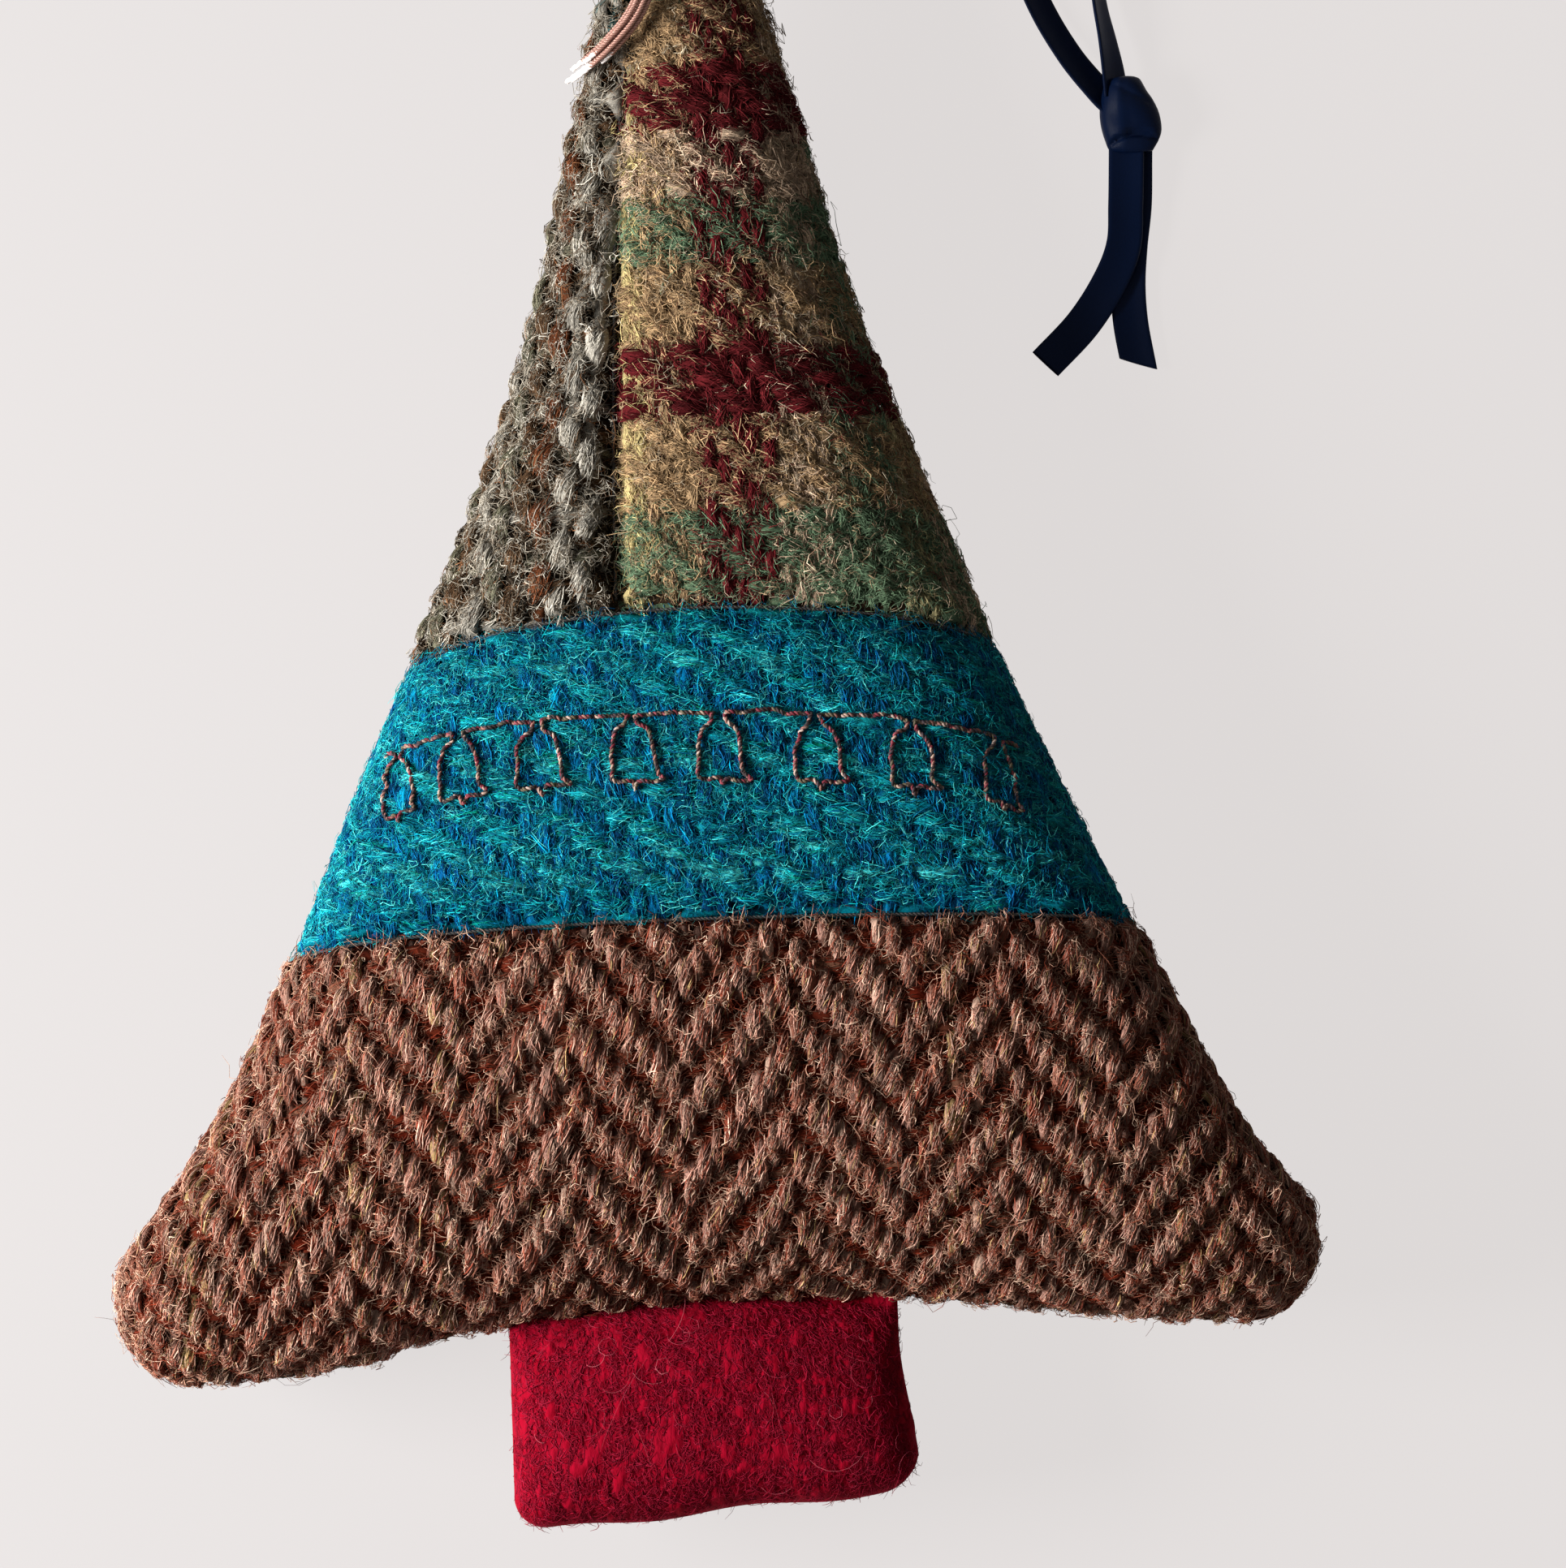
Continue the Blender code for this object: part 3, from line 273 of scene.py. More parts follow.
def sideHalf(height):
    height = np.asarray(height, float)
    places, values = np.array(tree["side"]).T
    rise = tree["height"] - tree["tipLevel"]
    shoulder = tree["height"] - tree["apexRise"]
    level = (height - tree["tipLevel"]) / rise
    side = smoothThrough(places, values, np.clip(level, 0, 1)) * tree["halfWidth"]
    apexHalf = smoothThrough(places, values, (shoulder - tree["tipLevel"]) / rise) * tree["halfWidth"]
    above = np.clip(height - shoulder, 0, tree["apexRise"])
    side = np.where(above > 0, apexHalf * np.sqrt(1 - (above / tree["apexRise"]) ** 2), side)
    below = np.clip(tree["tipLevel"] - height, 0, tree["tipRadius"])
    tip = tree["tipCentreX"] + np.sqrt(tree["tipRadius"] ** 2 - below**2)
    return np.where(height < tree["tipLevel"], tip, side)


def bottomHeight(x):
    across = np.abs(x)
    arch = -tree["tipDrop"] * (1 - np.cos(math.pi * np.minimum(across / tree["tipCentreX"], 1))) / 2
    beyond = np.clip(across - tree["tipCentreX"], 0, tree["tipRadius"])
    return np.where(beyond > 0, tree["tipLevel"] - np.sqrt(tree["tipRadius"] ** 2 - beyond**2), arch)


def seamHeight(name, x):
    edge, arch = seams[name]
    return edge + arch * (1 - (x / sideHalf(edge)) ** 2)


def stripSeam(height):
    foot = sum(seams["upper"])
    share = np.clip((height - foot) / (tree["height"] - foot), 0, 1)
    return seams["stripFootX"] + (seams["stripTopX"] - seams["stripFootX"]) * share**3


def joinedSwell(*squares):
    return 1 / sum(1 / np.maximum(square, 1e-12) for square in squares)


def swellSquare(face, x, height):
    # Square of how far the stuffed cloth stands off its edge seam, held down at the patchwork seams
    sides = tree["edgeRound"] ** 2 * (sideHalf(height) ** 2 - x**2)
    bottom = tree["bottomFullness"] * (height - bottomHeight(x))
    square = joinedSwell(sides, bottom, face["fullness"] ** 2)
    if not face["dips"]:
        return square
    upper = height - seamHeight("upper", x)
    nearest = np.minimum(np.abs(upper), np.abs(height - seamHeight("lower", x)))
    beside = np.where(upper > 0, np.abs(x - stripSeam(height)), 99)
    dip = seams["dip"] * np.exp(-((np.minimum(nearest, beside) / seams["dipReach"]) ** 2))
    return square * (1 - dip) ** 2


def ribbonSlot(x, height):
    outside = np.clip((np.abs(x) - seams["ribbonHalf"]) / seams["ribbonSpread"], 0, 1)
    below = np.clip((tree["height"] - height) / seams["ribbonDepth"], 0, 1)
    return seams["ribbonRoom"] * (1 - outside**2) * (1 - below**2)


def pulled(table, wanted):
    places, values = np.array(table).T
    return smoothThrough(places, values, np.clip(wanted, places[0], places[-1]))


def stuffed(points):
    # The stuffed tree is pulled a little out of its even shape, at its sides and along its hem
    across, height = points[..., 0] * 1.0, points[..., 1] * 1.0
    share = across / np.maximum(sideHalf(height), 1)
    right, left = pulled(tree["rightPull"], height), pulled(tree["leftPull"], height)
    points[..., 0] += np.clip(share, 0, 1) * right + np.clip(-share, 0, 1) * left
    near = 1 - eased((height - bottomHeight(across)) / tree["hemReach"])
    points[..., 1] += pulled(tree["hem"], across) * near
    return points


def placed(points, ofTree=True):
    # From the tree's own places to the part's frame
    points = np.array(points, float)
    if ofTree:
        points = stuffed(points)
    points[..., 1] += tree["skew"] * (points[..., 0] / tree["halfWidth"]) ** 3 - tree["centreHeight"]
    points[..., 2] = np.maximum(points[..., 2] + tree["seamLevel"], 0.02)
    return points


def facePoints(face, x, height):
    # Points of a stuffed face and its outward directions
    step = 0.06
    square = swellSquare(face, x, height)
    slopeX = (swellSquare(face, x + step, height) - swellSquare(face, x - step, height)) / (2 * step)
    slopeY = (swellSquare(face, x, height + step) - swellSquare(face, x, height - step)) / (2 * step)
    level = np.sqrt(square)
    normals = unit(np.stack([-slopeX / 2, -slopeY / 2, level + 1e-4], axis=-1))
    level = level + ribbonSlot(x, height) + tree["seamGap"]
    if face["side"] < 0:
        rests = level > tree["seamLevel"]
        level = np.minimum(level, tree["seamLevel"])
        normals = np.where(rests[..., None], (0, 0, 1), normals)
    sign = face["side"]
    return np.stack([x, height, level * sign], axis=-1), normals * (1, 1, sign)


# The flat cut of the cloth: arc lengths along rows and columns of the stuffed face

def flatCut(face):
    heights = np.linspace(-tree["tipDrop"], tree["height"], 430)
    shares = np.linspace(0, 1, 160)
    half = sideHalf(heights)[:, None]
    x = half * (1 - (1 - shares) ** 2)
    sides = tree["edgeRound"] ** 2 * (half**2 - x**2)
    level = np.sqrt(joinedSwell(sides, np.maximum(heights, 8)[:, None] * 18 + 0 * x, face["fullness"] ** 2))
    arcs = np.hypot(np.diff(x, axis=1), np.diff(level, axis=1)).cumsum(axis=1)
    arcs = np.concatenate([np.zeros((len(heights), 1)), arcs], axis=1)
    total = arcs[:, -1]
    even = np.stack([np.interp(shares * total[k], arcs[k], x[k]) for k in range(len(heights))])
    columns = tree["height"] * np.linspace(0, 1, 900) ** 2
    level = np.sqrt(swellSquare({**face, "dips": False}, 0 * columns, columns))
    columnArcs = np.concatenate([[0], np.hypot(np.diff(columns), np.diff(level)).cumsum()])
    return {"heights": heights, "total": total, "even": even, "columns": columns, "columnArcs": columnArcs}


def onFace(face, u, v):
    # From places on the flat cut to places on the tree: across, height and arc length to the side edge
    cut = face["cut"]
    x = np.clip(u, -49, 49) * 0.93
    rows = len(cut["heights"]) - 1
    steps = cut["even"].shape[1] - 1
    for _ in range(5):
        edge = bottomHeight(x)
        height = edge + np.interp(v - edge, cut["columnArcs"], cut["columns"])
        row = (height - cut["heights"][0]) / (cut["heights"][-1] - cut["heights"][0]) * rows
        low = np.clip(row.astype(int), 0, rows - 1)
        part = np.clip(row - low, 0, 1)
        total = cut["total"][low] * (1 - part) + cut["total"][low + 1] * part
        place = np.clip(np.abs(u) / np.maximum(total, 1e-6), 0, 1) * steps
        column = np.clip(place.astype(int), 0, steps - 1)
        rest = place - column
        lower = cut["even"][low, column] * (1 - rest) + cut["even"][low, column + 1] * rest
        upper = cut["even"][low + 1, column] * (1 - rest) + cut["even"][low + 1, column + 1] * rest
        x = np.sign(u) * (lower * (1 - part) + upper * part)
    toBottom = v - edge
    return x, height, total - np.abs(u), toBottom


front["cut"] = flatCut(front)
back["cut"] = flatCut(back)
print("flat cuts made")


# Materials

def node(nodes, kind, inputs=None, **settings):
    made = nodes.nodes.new(kind)
    for key, value in settings.items():
        setattr(made, key, value)
    for key, value in (inputs or {}).items():
        if isinstance(value, bpy.types.NodeSocket):
            nodes.links.new(value, made.inputs[key])
        else:
            made.inputs[key].default_value = value
    return made


def mixColours(nodes, share, first, second, blend="MIX"):
    made = node(nodes, "ShaderNodeMix", data_type="RGBA", blend_type=blend)
    for index, value in ((0, share), (6, first), (7, second)):
        if isinstance(value, bpy.types.NodeSocket):
            nodes.links.new(value, made.inputs[index])
        elif index == 0:
            made.inputs[index].default_value = value
        else:
            made.inputs[index].default_value = (*value, 1)
    return made.outputs[2]


def mathNode(nodes, operation, first, second=0.5, third=None):
    made = node(nodes, "ShaderNodeMath", {0: first, 1: second}, operation=operation)
    if third is not None:
        made.inputs[2].default_value = third
    return made.outputs[0]


def makeFibreGroup():
    # Streaks of twisted fibre along a yarn, and the height of the fibres
    group = bpy.data.node_groups.new("wool fibres", "ShaderNodeTree")
    for title, value in (("Fineness", 1.0), ("Stretch", 0.3)):
        socket = group.interface.new_socket(title, in_out="INPUT", socket_type="NodeSocketFloat")
        socket.default_value = value
    for title in ("Streaks", "Height"):
        group.interface.new_socket(title, in_out="OUTPUT", socket_type="NodeSocketFloat")
    given, out = group.nodes.new("NodeGroupInput"), group.nodes.new("NodeGroupOutput")
    place = node(group, "ShaderNodeAttribute", attribute_name="yarnPlace").outputs["Vector"]
    parts = node(group, "ShaderNodeSeparateXYZ", {0: place})
    along = mathNode(group, "MULTIPLY", parts.outputs[2], given.outputs["Stretch"])
    stretched = {0: parts.outputs[0], 1: parts.outputs[1], 2: along}
    ready = node(group, "ShaderNodeCombineXYZ", stretched).outputs[0]
    streak = node(group, "ShaderNodeTexNoise", {"Vector": ready, "Detail": 3.0, "Roughness": 0.62})
    group.links.new(mathNode(group, "MULTIPLY", given.outputs["Fineness"], 3.2), streak.inputs["Scale"])
    spread = node(group, "ShaderNodeMapRange", {0: streak.outputs[0], 1: 0.34, 2: 0.66})
    group.links.new(spread.outputs[0], out.inputs["Streaks"])
    group.links.new(streak.outputs[0], out.inputs["Height"])
    return group


fibreGroup = makeFibreGroup()


def principled(name, colour, roughness, **settings):
    material = bpy.data.materials.new(name)
    material.use_nodes = True
    shader = material.node_tree.nodes["Principled BSDF"]
    shader.inputs["Base Color"].default_value = (*colour, 1)
    shader.inputs["Roughness"].default_value = roughness
    for key, value in settings.items():
        shader.inputs[key].default_value = value
    return material, material.node_tree, shader


def groupNode(nodes, group, **values):
    made = node(nodes, "ShaderNodeGroup", node_tree=group)
    for key, value in values.items():
        made.inputs[key].default_value = value
    return made


def addRelief(nodes, shader, height, strength, distance):
    lift = node(nodes, "ShaderNodeBump", {"Strength": strength, "Distance": distance, "Height": height})
    nodes.links.new(lift.outputs[0], shader.inputs["Normal"])


# Wool as a surface. The relief is in metres.
wool = {"roughness": 0.95, "shine": 0.05, "bump": 0.5, "relief": 0.00012, "contrast": 0.55, "hairShine": 0.08}


def yarnMaterial(name, dark, light):
    # Woollen yarn: dark and light fibres twisted together
    shine = {"Specular IOR Level": wool["shine"]}
    material, nodes, shader = principled(name, light, wool["roughness"], **shine)
    fibres = groupNode(nodes, fibreGroup)
    nodes.links.new(mixColours(nodes, fibres.outputs["Streaks"], dark, light), shader.inputs["Base Color"])
    addRelief(nodes, shader, fibres.outputs["Height"], wool["bump"], wool["relief"])
    return material


def ownColour(nodes):
    return node(nodes, "ShaderNodeAttribute", attribute_name="yarnColour").outputs["Color"]


def greyTone(nodes, value):
    return node(nodes, "ShaderNodeCombineColor", {0: value, 1: value, 2: value}).outputs[0]


def dyedYarnMaterial(name):
    # Yarn whose own colour comes with each end of the cloth
    shine = {"Specular IOR Level": wool["shine"]}
    material, nodes, shader = principled(name, (0.2, 0.2, 0.2), wool["roughness"], **shine)
    fibres = groupNode(nodes, fibreGroup)
    share = mathNode(nodes, "MULTIPLY_ADD", fibres.outputs["Streaks"], 1.0, 0.25)
    own = mixColours(nodes, wool["contrast"], ownColour(nodes), greyTone(nodes, share), "MULTIPLY")
    nodes.links.new(own, shader.inputs["Base Color"])
    addRelief(nodes, shader, fibres.outputs["Height"], wool["bump"], wool["relief"])
    return material


def hairMaterial(name, dark, light):
    material, nodes, shader = principled(name, light, 0.9, **{"Specular IOR Level": wool["hairShine"]})
    tone = node(nodes, "ShaderNodeAttribute", attribute_name="hairTone").outputs["Fac"]
    nodes.links.new(mixColours(nodes, tone, dark, light), shader.inputs["Base Color"])
    return material


def fibreMaterial(name):
    # Single fibres, each with its own colour and a little change along it
    shine = {"Specular IOR Level": wool["hairShine"]}
    material, nodes, shader = principled(name, (0.2, 0.2, 0.2), 0.85, **shine)
    place = node(nodes, "ShaderNodeTexCoord").outputs["Object"]
    flecks = node(nodes, "ShaderNodeTexNoise", {"Vector": place, "Scale": 2500.0, "Detail": 1.0})
    tone = node(nodes, "ShaderNodeMapRange", {0: flecks.outputs[0], 1: 0.3, 2: 0.7, 3: 0.75, 4: 1.25})
    own = mixColours(nodes, 1.0, ownColour(nodes), greyTone(nodes, tone.outputs[0]), "MULTIPLY")
    nodes.links.new(own, shader.inputs["Base Color"])
    return material


woolFibres = fibreMaterial("wool_fibres")


# Ribbon loop. Each route point is across, up the tree, above the edge seam's level, and the ribbon's turn,
# where 0 lies flat and 90 stands on edge.

ribbon = {
    "width": 3.0,
    "thickness": 0.34,
    "cup": 0.22,
    "neck": 4.2,
    "sewn": 12.0,
    "apart": 0.4,
    "steps": 12,
    "cutRings": 8,
    "rightCut": -0.5,
    "knotPlace": (37.8, 99.3, -8.6),
    "left": (
        (0.0, 128.5, 0.4, 0),
        (0.9, 133.5, 1.6, 20),
        (4.0, 140.4, 3.4, 60),
        (8.8, 145.2, 3.4, 85),
        (14.4, 146.4, 0.6, 92),
        (19.6, 143.4, -3.6, 90),
        (23.0, 136.8, -7.0, 80),
        (25.2, 127.6, -8.9, 66),
        (27.6, 117.4, -9.2, 46),
        (30.2, 109.8, -9.2, 38),
        (32.7, 104.9, -9.0, 36),
        (35.2, 101.5, -8.8, 32),
        (36.4, 100.2, -8.7, 30),
    ),
    "right": (
        (0.0, 128.5, -0.4, 0),
        (0.1, 134.0, -1.8, 20),
        (1.4, 142.5, -3.0, 60),
        (5.5, 151.0, -4.6, 85),
        (13.0, 156.5, -6.6, 92),
        (22.0, 157.0, -7.8, 94),
        (30.3, 152.5, -8.4, 92),
        (34.5, 142.5, -8.6, 84),
        (35.8, 127.0, -8.6, 76),
        (35.4, 118.5, -8.6, 72),
        (35.2, 112.6, -8.5, 68),
        (35.5, 109.0, -8.5, 64),
        (36.0, 106.0, -8.4, 57),
        (36.4, 103.2, -8.4, 48),
        (36.6, 100.8, -8.4, 44),
    ),
    "leftTail": (
        (37.4, 98.0, -8.5, 0),
        (37.3, 95.4, -8.5, 0),
        (37.1, 91.6, -8.8, 4),
        (36.8, 88.2, -9.0, 6),
        (35.5, 85.1, -9.2, 4),
        (33.1, 81.6, -9.4, 2),
        (29.8, 78.3, -9.6, 0),
    ),
    "rightTail": (
        (38.2, 98.2, -9.4, 0),
        (38.1, 95.8, -9.7, 0),
        (37.9, 91.8, -9.8, 0),
        (37.4, 88.2, -9.9, 0),
        (37.1, 84.9, -9.9, 0),
        (37.2, 81.6, -9.9, 0),
        (37.7, 78.1, -9.9, 0),
    ),
}


def satinMaterial(name, colour, deep):
    # Satin: fine crosswise threads, and a soft shine that runs along the ribbon
    settings = {"Specular IOR Level": 0.05, "Anisotropic": 0.5}
    material, nodes, shader = principled(name, colour, 0.36, **settings)
    place = node(nodes, "ShaderNodeAttribute", attribute_name="ribbonPlace").outputs["Vector"]
    fine = node(nodes, "ShaderNodeMapping", {"Vector": place, "Scale": (2.0, 22.0, 1.0)}).outputs[0]
    threads = node(nodes, "ShaderNodeTexNoise", {"Vector": fine, "Scale": 1.6, "Detail": 2.0})
    broad = node(nodes, "ShaderNodeTexNoise", {"Vector": place, "Scale": 0.35, "Detail": 2.0})
    own = mixColours(nodes, threads.outputs[0], deep, colour)
    nodes.links.new(own, shader.inputs["Base Color"])
    rough = node(nodes, "ShaderNodeMapRange", {0: broad.outputs[0], 3: 0.34, 4: 0.52})
    nodes.links.new(rough.outputs[0], shader.inputs["Roughness"])
    addRelief(nodes, shader, threads.outputs[0], 0.25, 0.00004)
    return material


navySatin = satinMaterial("navy_satin", (0.003, 0.009, 0.035), (0.001, 0.004, 0.015))


def ribbonMesh(name, points, sides, cup):
    # Flat ribbon with rounded edges, a little cupped across
    points = np.asarray(points, float)
    runs = unit(np.gradient(points, axis=0))
    sides = unit(sides - np.sum(sides * runs, axis=1)[:, None] * runs)
    outward = np.cross(sides, runs)
    across = np.array([-1, -0.93, -0.75, -0.4, 0, 0.4, 0.75, 0.93, 1, 0.93, 0.75, 0.4, 0, -0.4, -0.75, -0.93])
    thick = np.array([0, 0.75, 1, 1, 1, 1, 1, 0.75, 0, -0.75, -1, -1, -1, -1, -1, -0.75])
    thick = thick * ribbon["thickness"] / 2
    bow = cup * (across**2 - 0.4)
    wide = np.tile(across * ribbon["width"] / 2, (len(points), 1))
    raised = (thick + bow)[None, :, None] * outward[:, None]
    ring = points[:, None] + wide[..., None] * sides[:, None] + raised
    rows, count = ring.shape[:2]
    numbers = np.arange(rows * count).reshape(rows, count)
    start, finish = numbers[:-1], numbers[1:]
    quads = np.stack([start, np.roll(start, -1, 1), np.roll(finish, -1, 1), finish], axis=-1).reshape(-1, 4)
    ends = []
    for index in range(count // 2 - 1):
        low, high = index, (count - index) % count
        nextLow, nextHigh = index + 1, count - index - 1
        if low == high:
            continue
        ends.append([numbers[0, low], numbers[0, high], numbers[0, nextHigh], numbers[0, nextLow]])
        ends.append([numbers[-1, low], numbers[-1, nextLow], numbers[-1, nextHigh], numbers[-1, high]])
    lengths = np.concatenate([[0], np.linalg.norm(np.diff(points, axis=0), axis=1).cumsum()])
    along = np.broadcast_to(lengths[:, None], (rows, count))
    place = np.stack([along, wide, np.zeros((rows, count))], axis=-1)
    quads = np.concatenate([quads, np.array(ends)])
    return addPiece(name, ring.reshape(-1, 3), quads, navySatin, {"ribbonPlace": place.reshape(-1, 3)})


def ribbonLine(route):
    # Centre line, side directions and length of a route
    line = curvePoints(route, ribbon["steps"])
    points = np.column_stack([line[:, 0], line[:, 1] - tree["centreHeight"], line[:, 2] + tree["seamLevel"]])
    turns = np.radians(line[:, 3])[:, None]
    flat = unit(np.cross(np.gradient(points, axis=0), (0, 0, 1)))
    sides = np.cos(turns) * flat + np.sin(turns) * np.array([0, 0, 1.0])
    length = np.linalg.norm(np.diff(points, axis=0), axis=1).sum()
    return points, sides, length


def addRibbonPiece(name, route, node, cutEnd=0.0):
    # cutEnd is the slope of a cut across the last end
    points, sides, length = ribbonLine(route)
    piece = ribbonMesh(name, points, sides, ribbon["cup"])
    if cutEnd:
        run = Vector(unit(points[-1] - points[-3]))
        corners = len(piece.data.vertices) // len(points)
        for number, vertex in enumerate(reversed(piece.data.vertices[-corners * ribbon["cutRings"]:])):
            ring = number // corners
            shift = (vertex.co - Vector(points[-1 - ring] * mm)).dot(Vector(sides[-1 - ring]))
            vertex.co += run * shift * cutEnd * (1 - ring / ribbon["cutRings"])
    attach(piece, "loop", node)
    return piece, points, length


strandLeft, leftPath, leftLength = addRibbonPiece("loop_ribbon_left", ribbon["left"], "ribbon_strand_left")
strandRight, rightPath, rightLength = addRibbonPiece("loop_ribbon_right", ribbon["right"],
                                                     "ribbon_strand_right")
tailLeft, _, _ = addRibbonPiece("ribbon_end_left", ribbon["leftTail"], "ribbon_tail_left")
tailRight, _, _ = addRibbonPiece("ribbon_end_right", ribbon["rightTail"], "ribbon_tail_right",
                                 ribbon["rightCut"])


knot = {
    "depth": 1.55,
    "rows": 40,
    "around": 56,
    "outline": ((3.25, -1.1, 0.6, 0.45), (3.05, -1.7, 0.95, 0.72), (2.6, -2.1, 1.2, 0.93),
                (2.0, -2.3, 1.5, 1.0), (1.3, -2.45, 1.95, 1.0), (0.3, -2.6, 2.4, 1.0),
                (-0.7, -2.55, 2.6, 1.0), (-1.5, -2.4, 2.6, 0.96), (-2.2, -2.2, 2.35, 0.86),
                (-2.8, -2.0, 2.0, 0.68), (-3.1, -1.75, 1.8, 0.45)),
}


def addKnot():
    # The pulled knot: its outline by height, with the folds of the ribbon that goes round it
    centre = np.array(ribbon["knotPlace"]) + (0, -tree["centreHeight"], tree["seamLevel"])
    line = curvePoints(knot["outline"], 6)
    line = line[np.linspace(0, len(line) - 1, knot["rows"]).astype(int)]
    rise, left, right, share = (line[:, [k]] for k in range(4))
    turn = np.linspace(0, 2 * math.pi, knot["around"], endpoint=False)[None]
    across = np.cos(turn)
    middle, half = (left + right) / 2, (right - left) / 2
    bulge = np.sign(np.sin(turn)) * np.abs(np.sin(turn)) ** 0.85
    slope = rise + 0.55 * across * half
    collar = rise + 1.45 + 0.9 * across**2 - 0.25 * across
    fold = 0.12 * np.exp(-((slope - 1.9) / 0.22) ** 2) + 0.45 * np.exp(-((collar + 0.15) / 0.2) ** 2)
    ridge = 0.05 * np.sin(2.2 * slope + 0.6) + 0.12 * np.exp(-((across + 0.35) / 0.2) ** 2)
    depth = knot["depth"] * share * (1 - 0.10 * across) * (1 - 0.30 * eased(-collar / 0.25))
    x = middle + half * across
    z = bulge * (depth - fold * (bulge > 0) + ridge * share)
    y = rise + 0 * turn - 0.22 * (1 - across**2) * (rise < -1.5)
    core = np.stack([x, y, z], axis=-1) + centre
    core[..., 2] = np.maximum(core[..., 2], 0.05)
    numbers = np.arange(core.shape[0] * core.shape[1]).reshape(core.shape[:2])
    start, finish = numbers[:-1], numbers[1:]
    quads = np.stack([start, finish, np.roll(finish, -1, 1), np.roll(start, -1, 1)], axis=-1).reshape(-1, 4)
    quads = np.concatenate([quads, capQuads(numbers[:1]), capQuads(numbers[-1:, ::-1])])
    place = np.stack([core[..., 0] - core[..., 1], core[..., 0] + core[..., 1], core[..., 2]], axis=-1)
    values = {"ribbonPlace": place.reshape(-1, 3)}
    piece = addPiece("ribbon_knot_folds", core.reshape(-1, 3), quads, navySatin, values)
    attach(piece, "loop", "ribbon_knot")
    return piece


knotPiece = addKnot()


def addRibbonFoot():
    # The fold of ribbon that is sewn into the apex
    top = tree["height"] + ribbon["neck"]
    low = tree["height"] - ribbon["sewn"] + ribbon["apart"] + ribbon["thickness"]
    angles = np.linspace(0, math.pi, 13)
    fold = [(0, low - ribbon["apart"] * math.sin(a), ribbon["apart"] * math.cos(a)) for a in angles]
    upper = [(0, h, ribbon["apart"]) for h in np.linspace(top, low, 14)[:-1]]
    lower = [(0, h, -ribbon["apart"]) for h in np.linspace(low, top, 14)[1:]]
    line = placed(np.array(upper + fold + lower))
    piece = ribbonMesh("ribbon_foot", line, np.tile([1.0, 0, 0], (len(line), 1)), 0.0)
    attach(piece, "tree", "ribbon_anchor")


addRibbonFoot()
print("ribbon loop", round(leftLength), "and", round(rightLength), "mm")


# Weaving

def twill(direction):
    # The warp passes over two picks and under two, one pick further up for each end
    def lifted(end, pick):
        return np.where((pick - direction * end) % 4 < 2, 1.0, -1.0)
    return lifted


def hopsack(end, pick):
    return np.where((pick + 2 * end) % 4 < 2, 1.0, -1.0)


def herringbone(firstEnd, ends, firstPick):
    # Stripes of twill that rise to the right and to the left, with a clean break between them
    def lifted(end, pick):
        place = (end - firstEnd) % (2 * ends)
        shift = np.where(place < ends, place, 2 * ends + 1 - place)
        return np.where((pick - firstPick - shift) % 4 < 2, 1.0, -1.0)
    return lifted


def crossing(lifted, fixed, moving, fixedIsWarp):
    # Lift of a yarn along its length, as a smooth curve through its crossings
    base = np.floor(moving)
    t = moving - base
    values = []
    for offset in (-1, 0, 1, 2):
        pair = (fixed, base + offset) if fixedIsWarp else (base + offset, fixed)
        values.append(lifted(*pair) * (1 if fixedIsWarp else -1))
    return catmull(*values, t)


def patchEdge(patch, x, height, toSide, toBottom):
    # Distance to the patch's nearest edge, negative outside it
    edges = [toSide]
    if patch == "brown":
        edges += [toBottom, seamHeight("lower", x) - height]
    if patch == "teal":
        edges += [height - seamHeight("lower", x), seamHeight("upper", x) - height]
    if patch in ("strip", "plaid"):
        edges += [height - seamHeight("upper", x), tree["height"] - height]
        beside = x - stripSeam(height)
        edges.append(beside if patch == "plaid" else -beside)
    if patch == "back":
        edges += [toBottom, tree["height"] - height]
    return np.minimum.reduce(edges)


def yarnPaths(cloth, system):
    # Where the yarns of one system run on the flat cut, with their uneven spacing and thickness
    warp = system == "warp"
    rng = np.random.default_rng(cloth["seed"] + (0 if warp else 1))
    pitch = cloth["warpPitch"] if warp else cloth["weftPitch"]
    crossPitch = cloth["weftPitch"] if warp else cloth["warpPitch"]
    fixedRange, runRange = (cloth["across"], cloth["up"]) if warp else (cloth["up"], cloth["across"])
    fixed = np.arange(math.floor(fixedRange[0] / pitch), math.ceil(fixedRange[1] / pitch) + 1)
    run = np.arange(runRange[0], runRange[1], cloth["step"])
    size = (len(fixed), len(run))
    lean = cloth.get("lean", 0) * (run - 55)[None] if warp else 0
    bold = [cloth["bold"].get(cloth["dye"](system, place), 0) if "dye" in cloth else 0
            for place in fixed * pitch]
    return {
        "warp": warp,
        "pitch": pitch,
        "crossPitch": crossPitch,
        "fixed": fixed,
        "run": run,
        "wander": smoothNoise(rng, *size, 4 / cloth["step"]) * cloth["wander"] * pitch + lean,
        "slub": 1 + cloth["slub"] * smoothNoise(rng, *size, 2.2 / cloth["step"]),
        "jump": smoothNoise(rng, *size, 1.6 / cloth["step"]) * cloth["uneven"] + np.array(bold)[:, None],
        "slip": smoothNoise(rng, *size, 5 / cloth["step"]) * cloth["slip"],
        "shade": smoothNoise(rng, *size, 3 / cloth["step"]),
    }


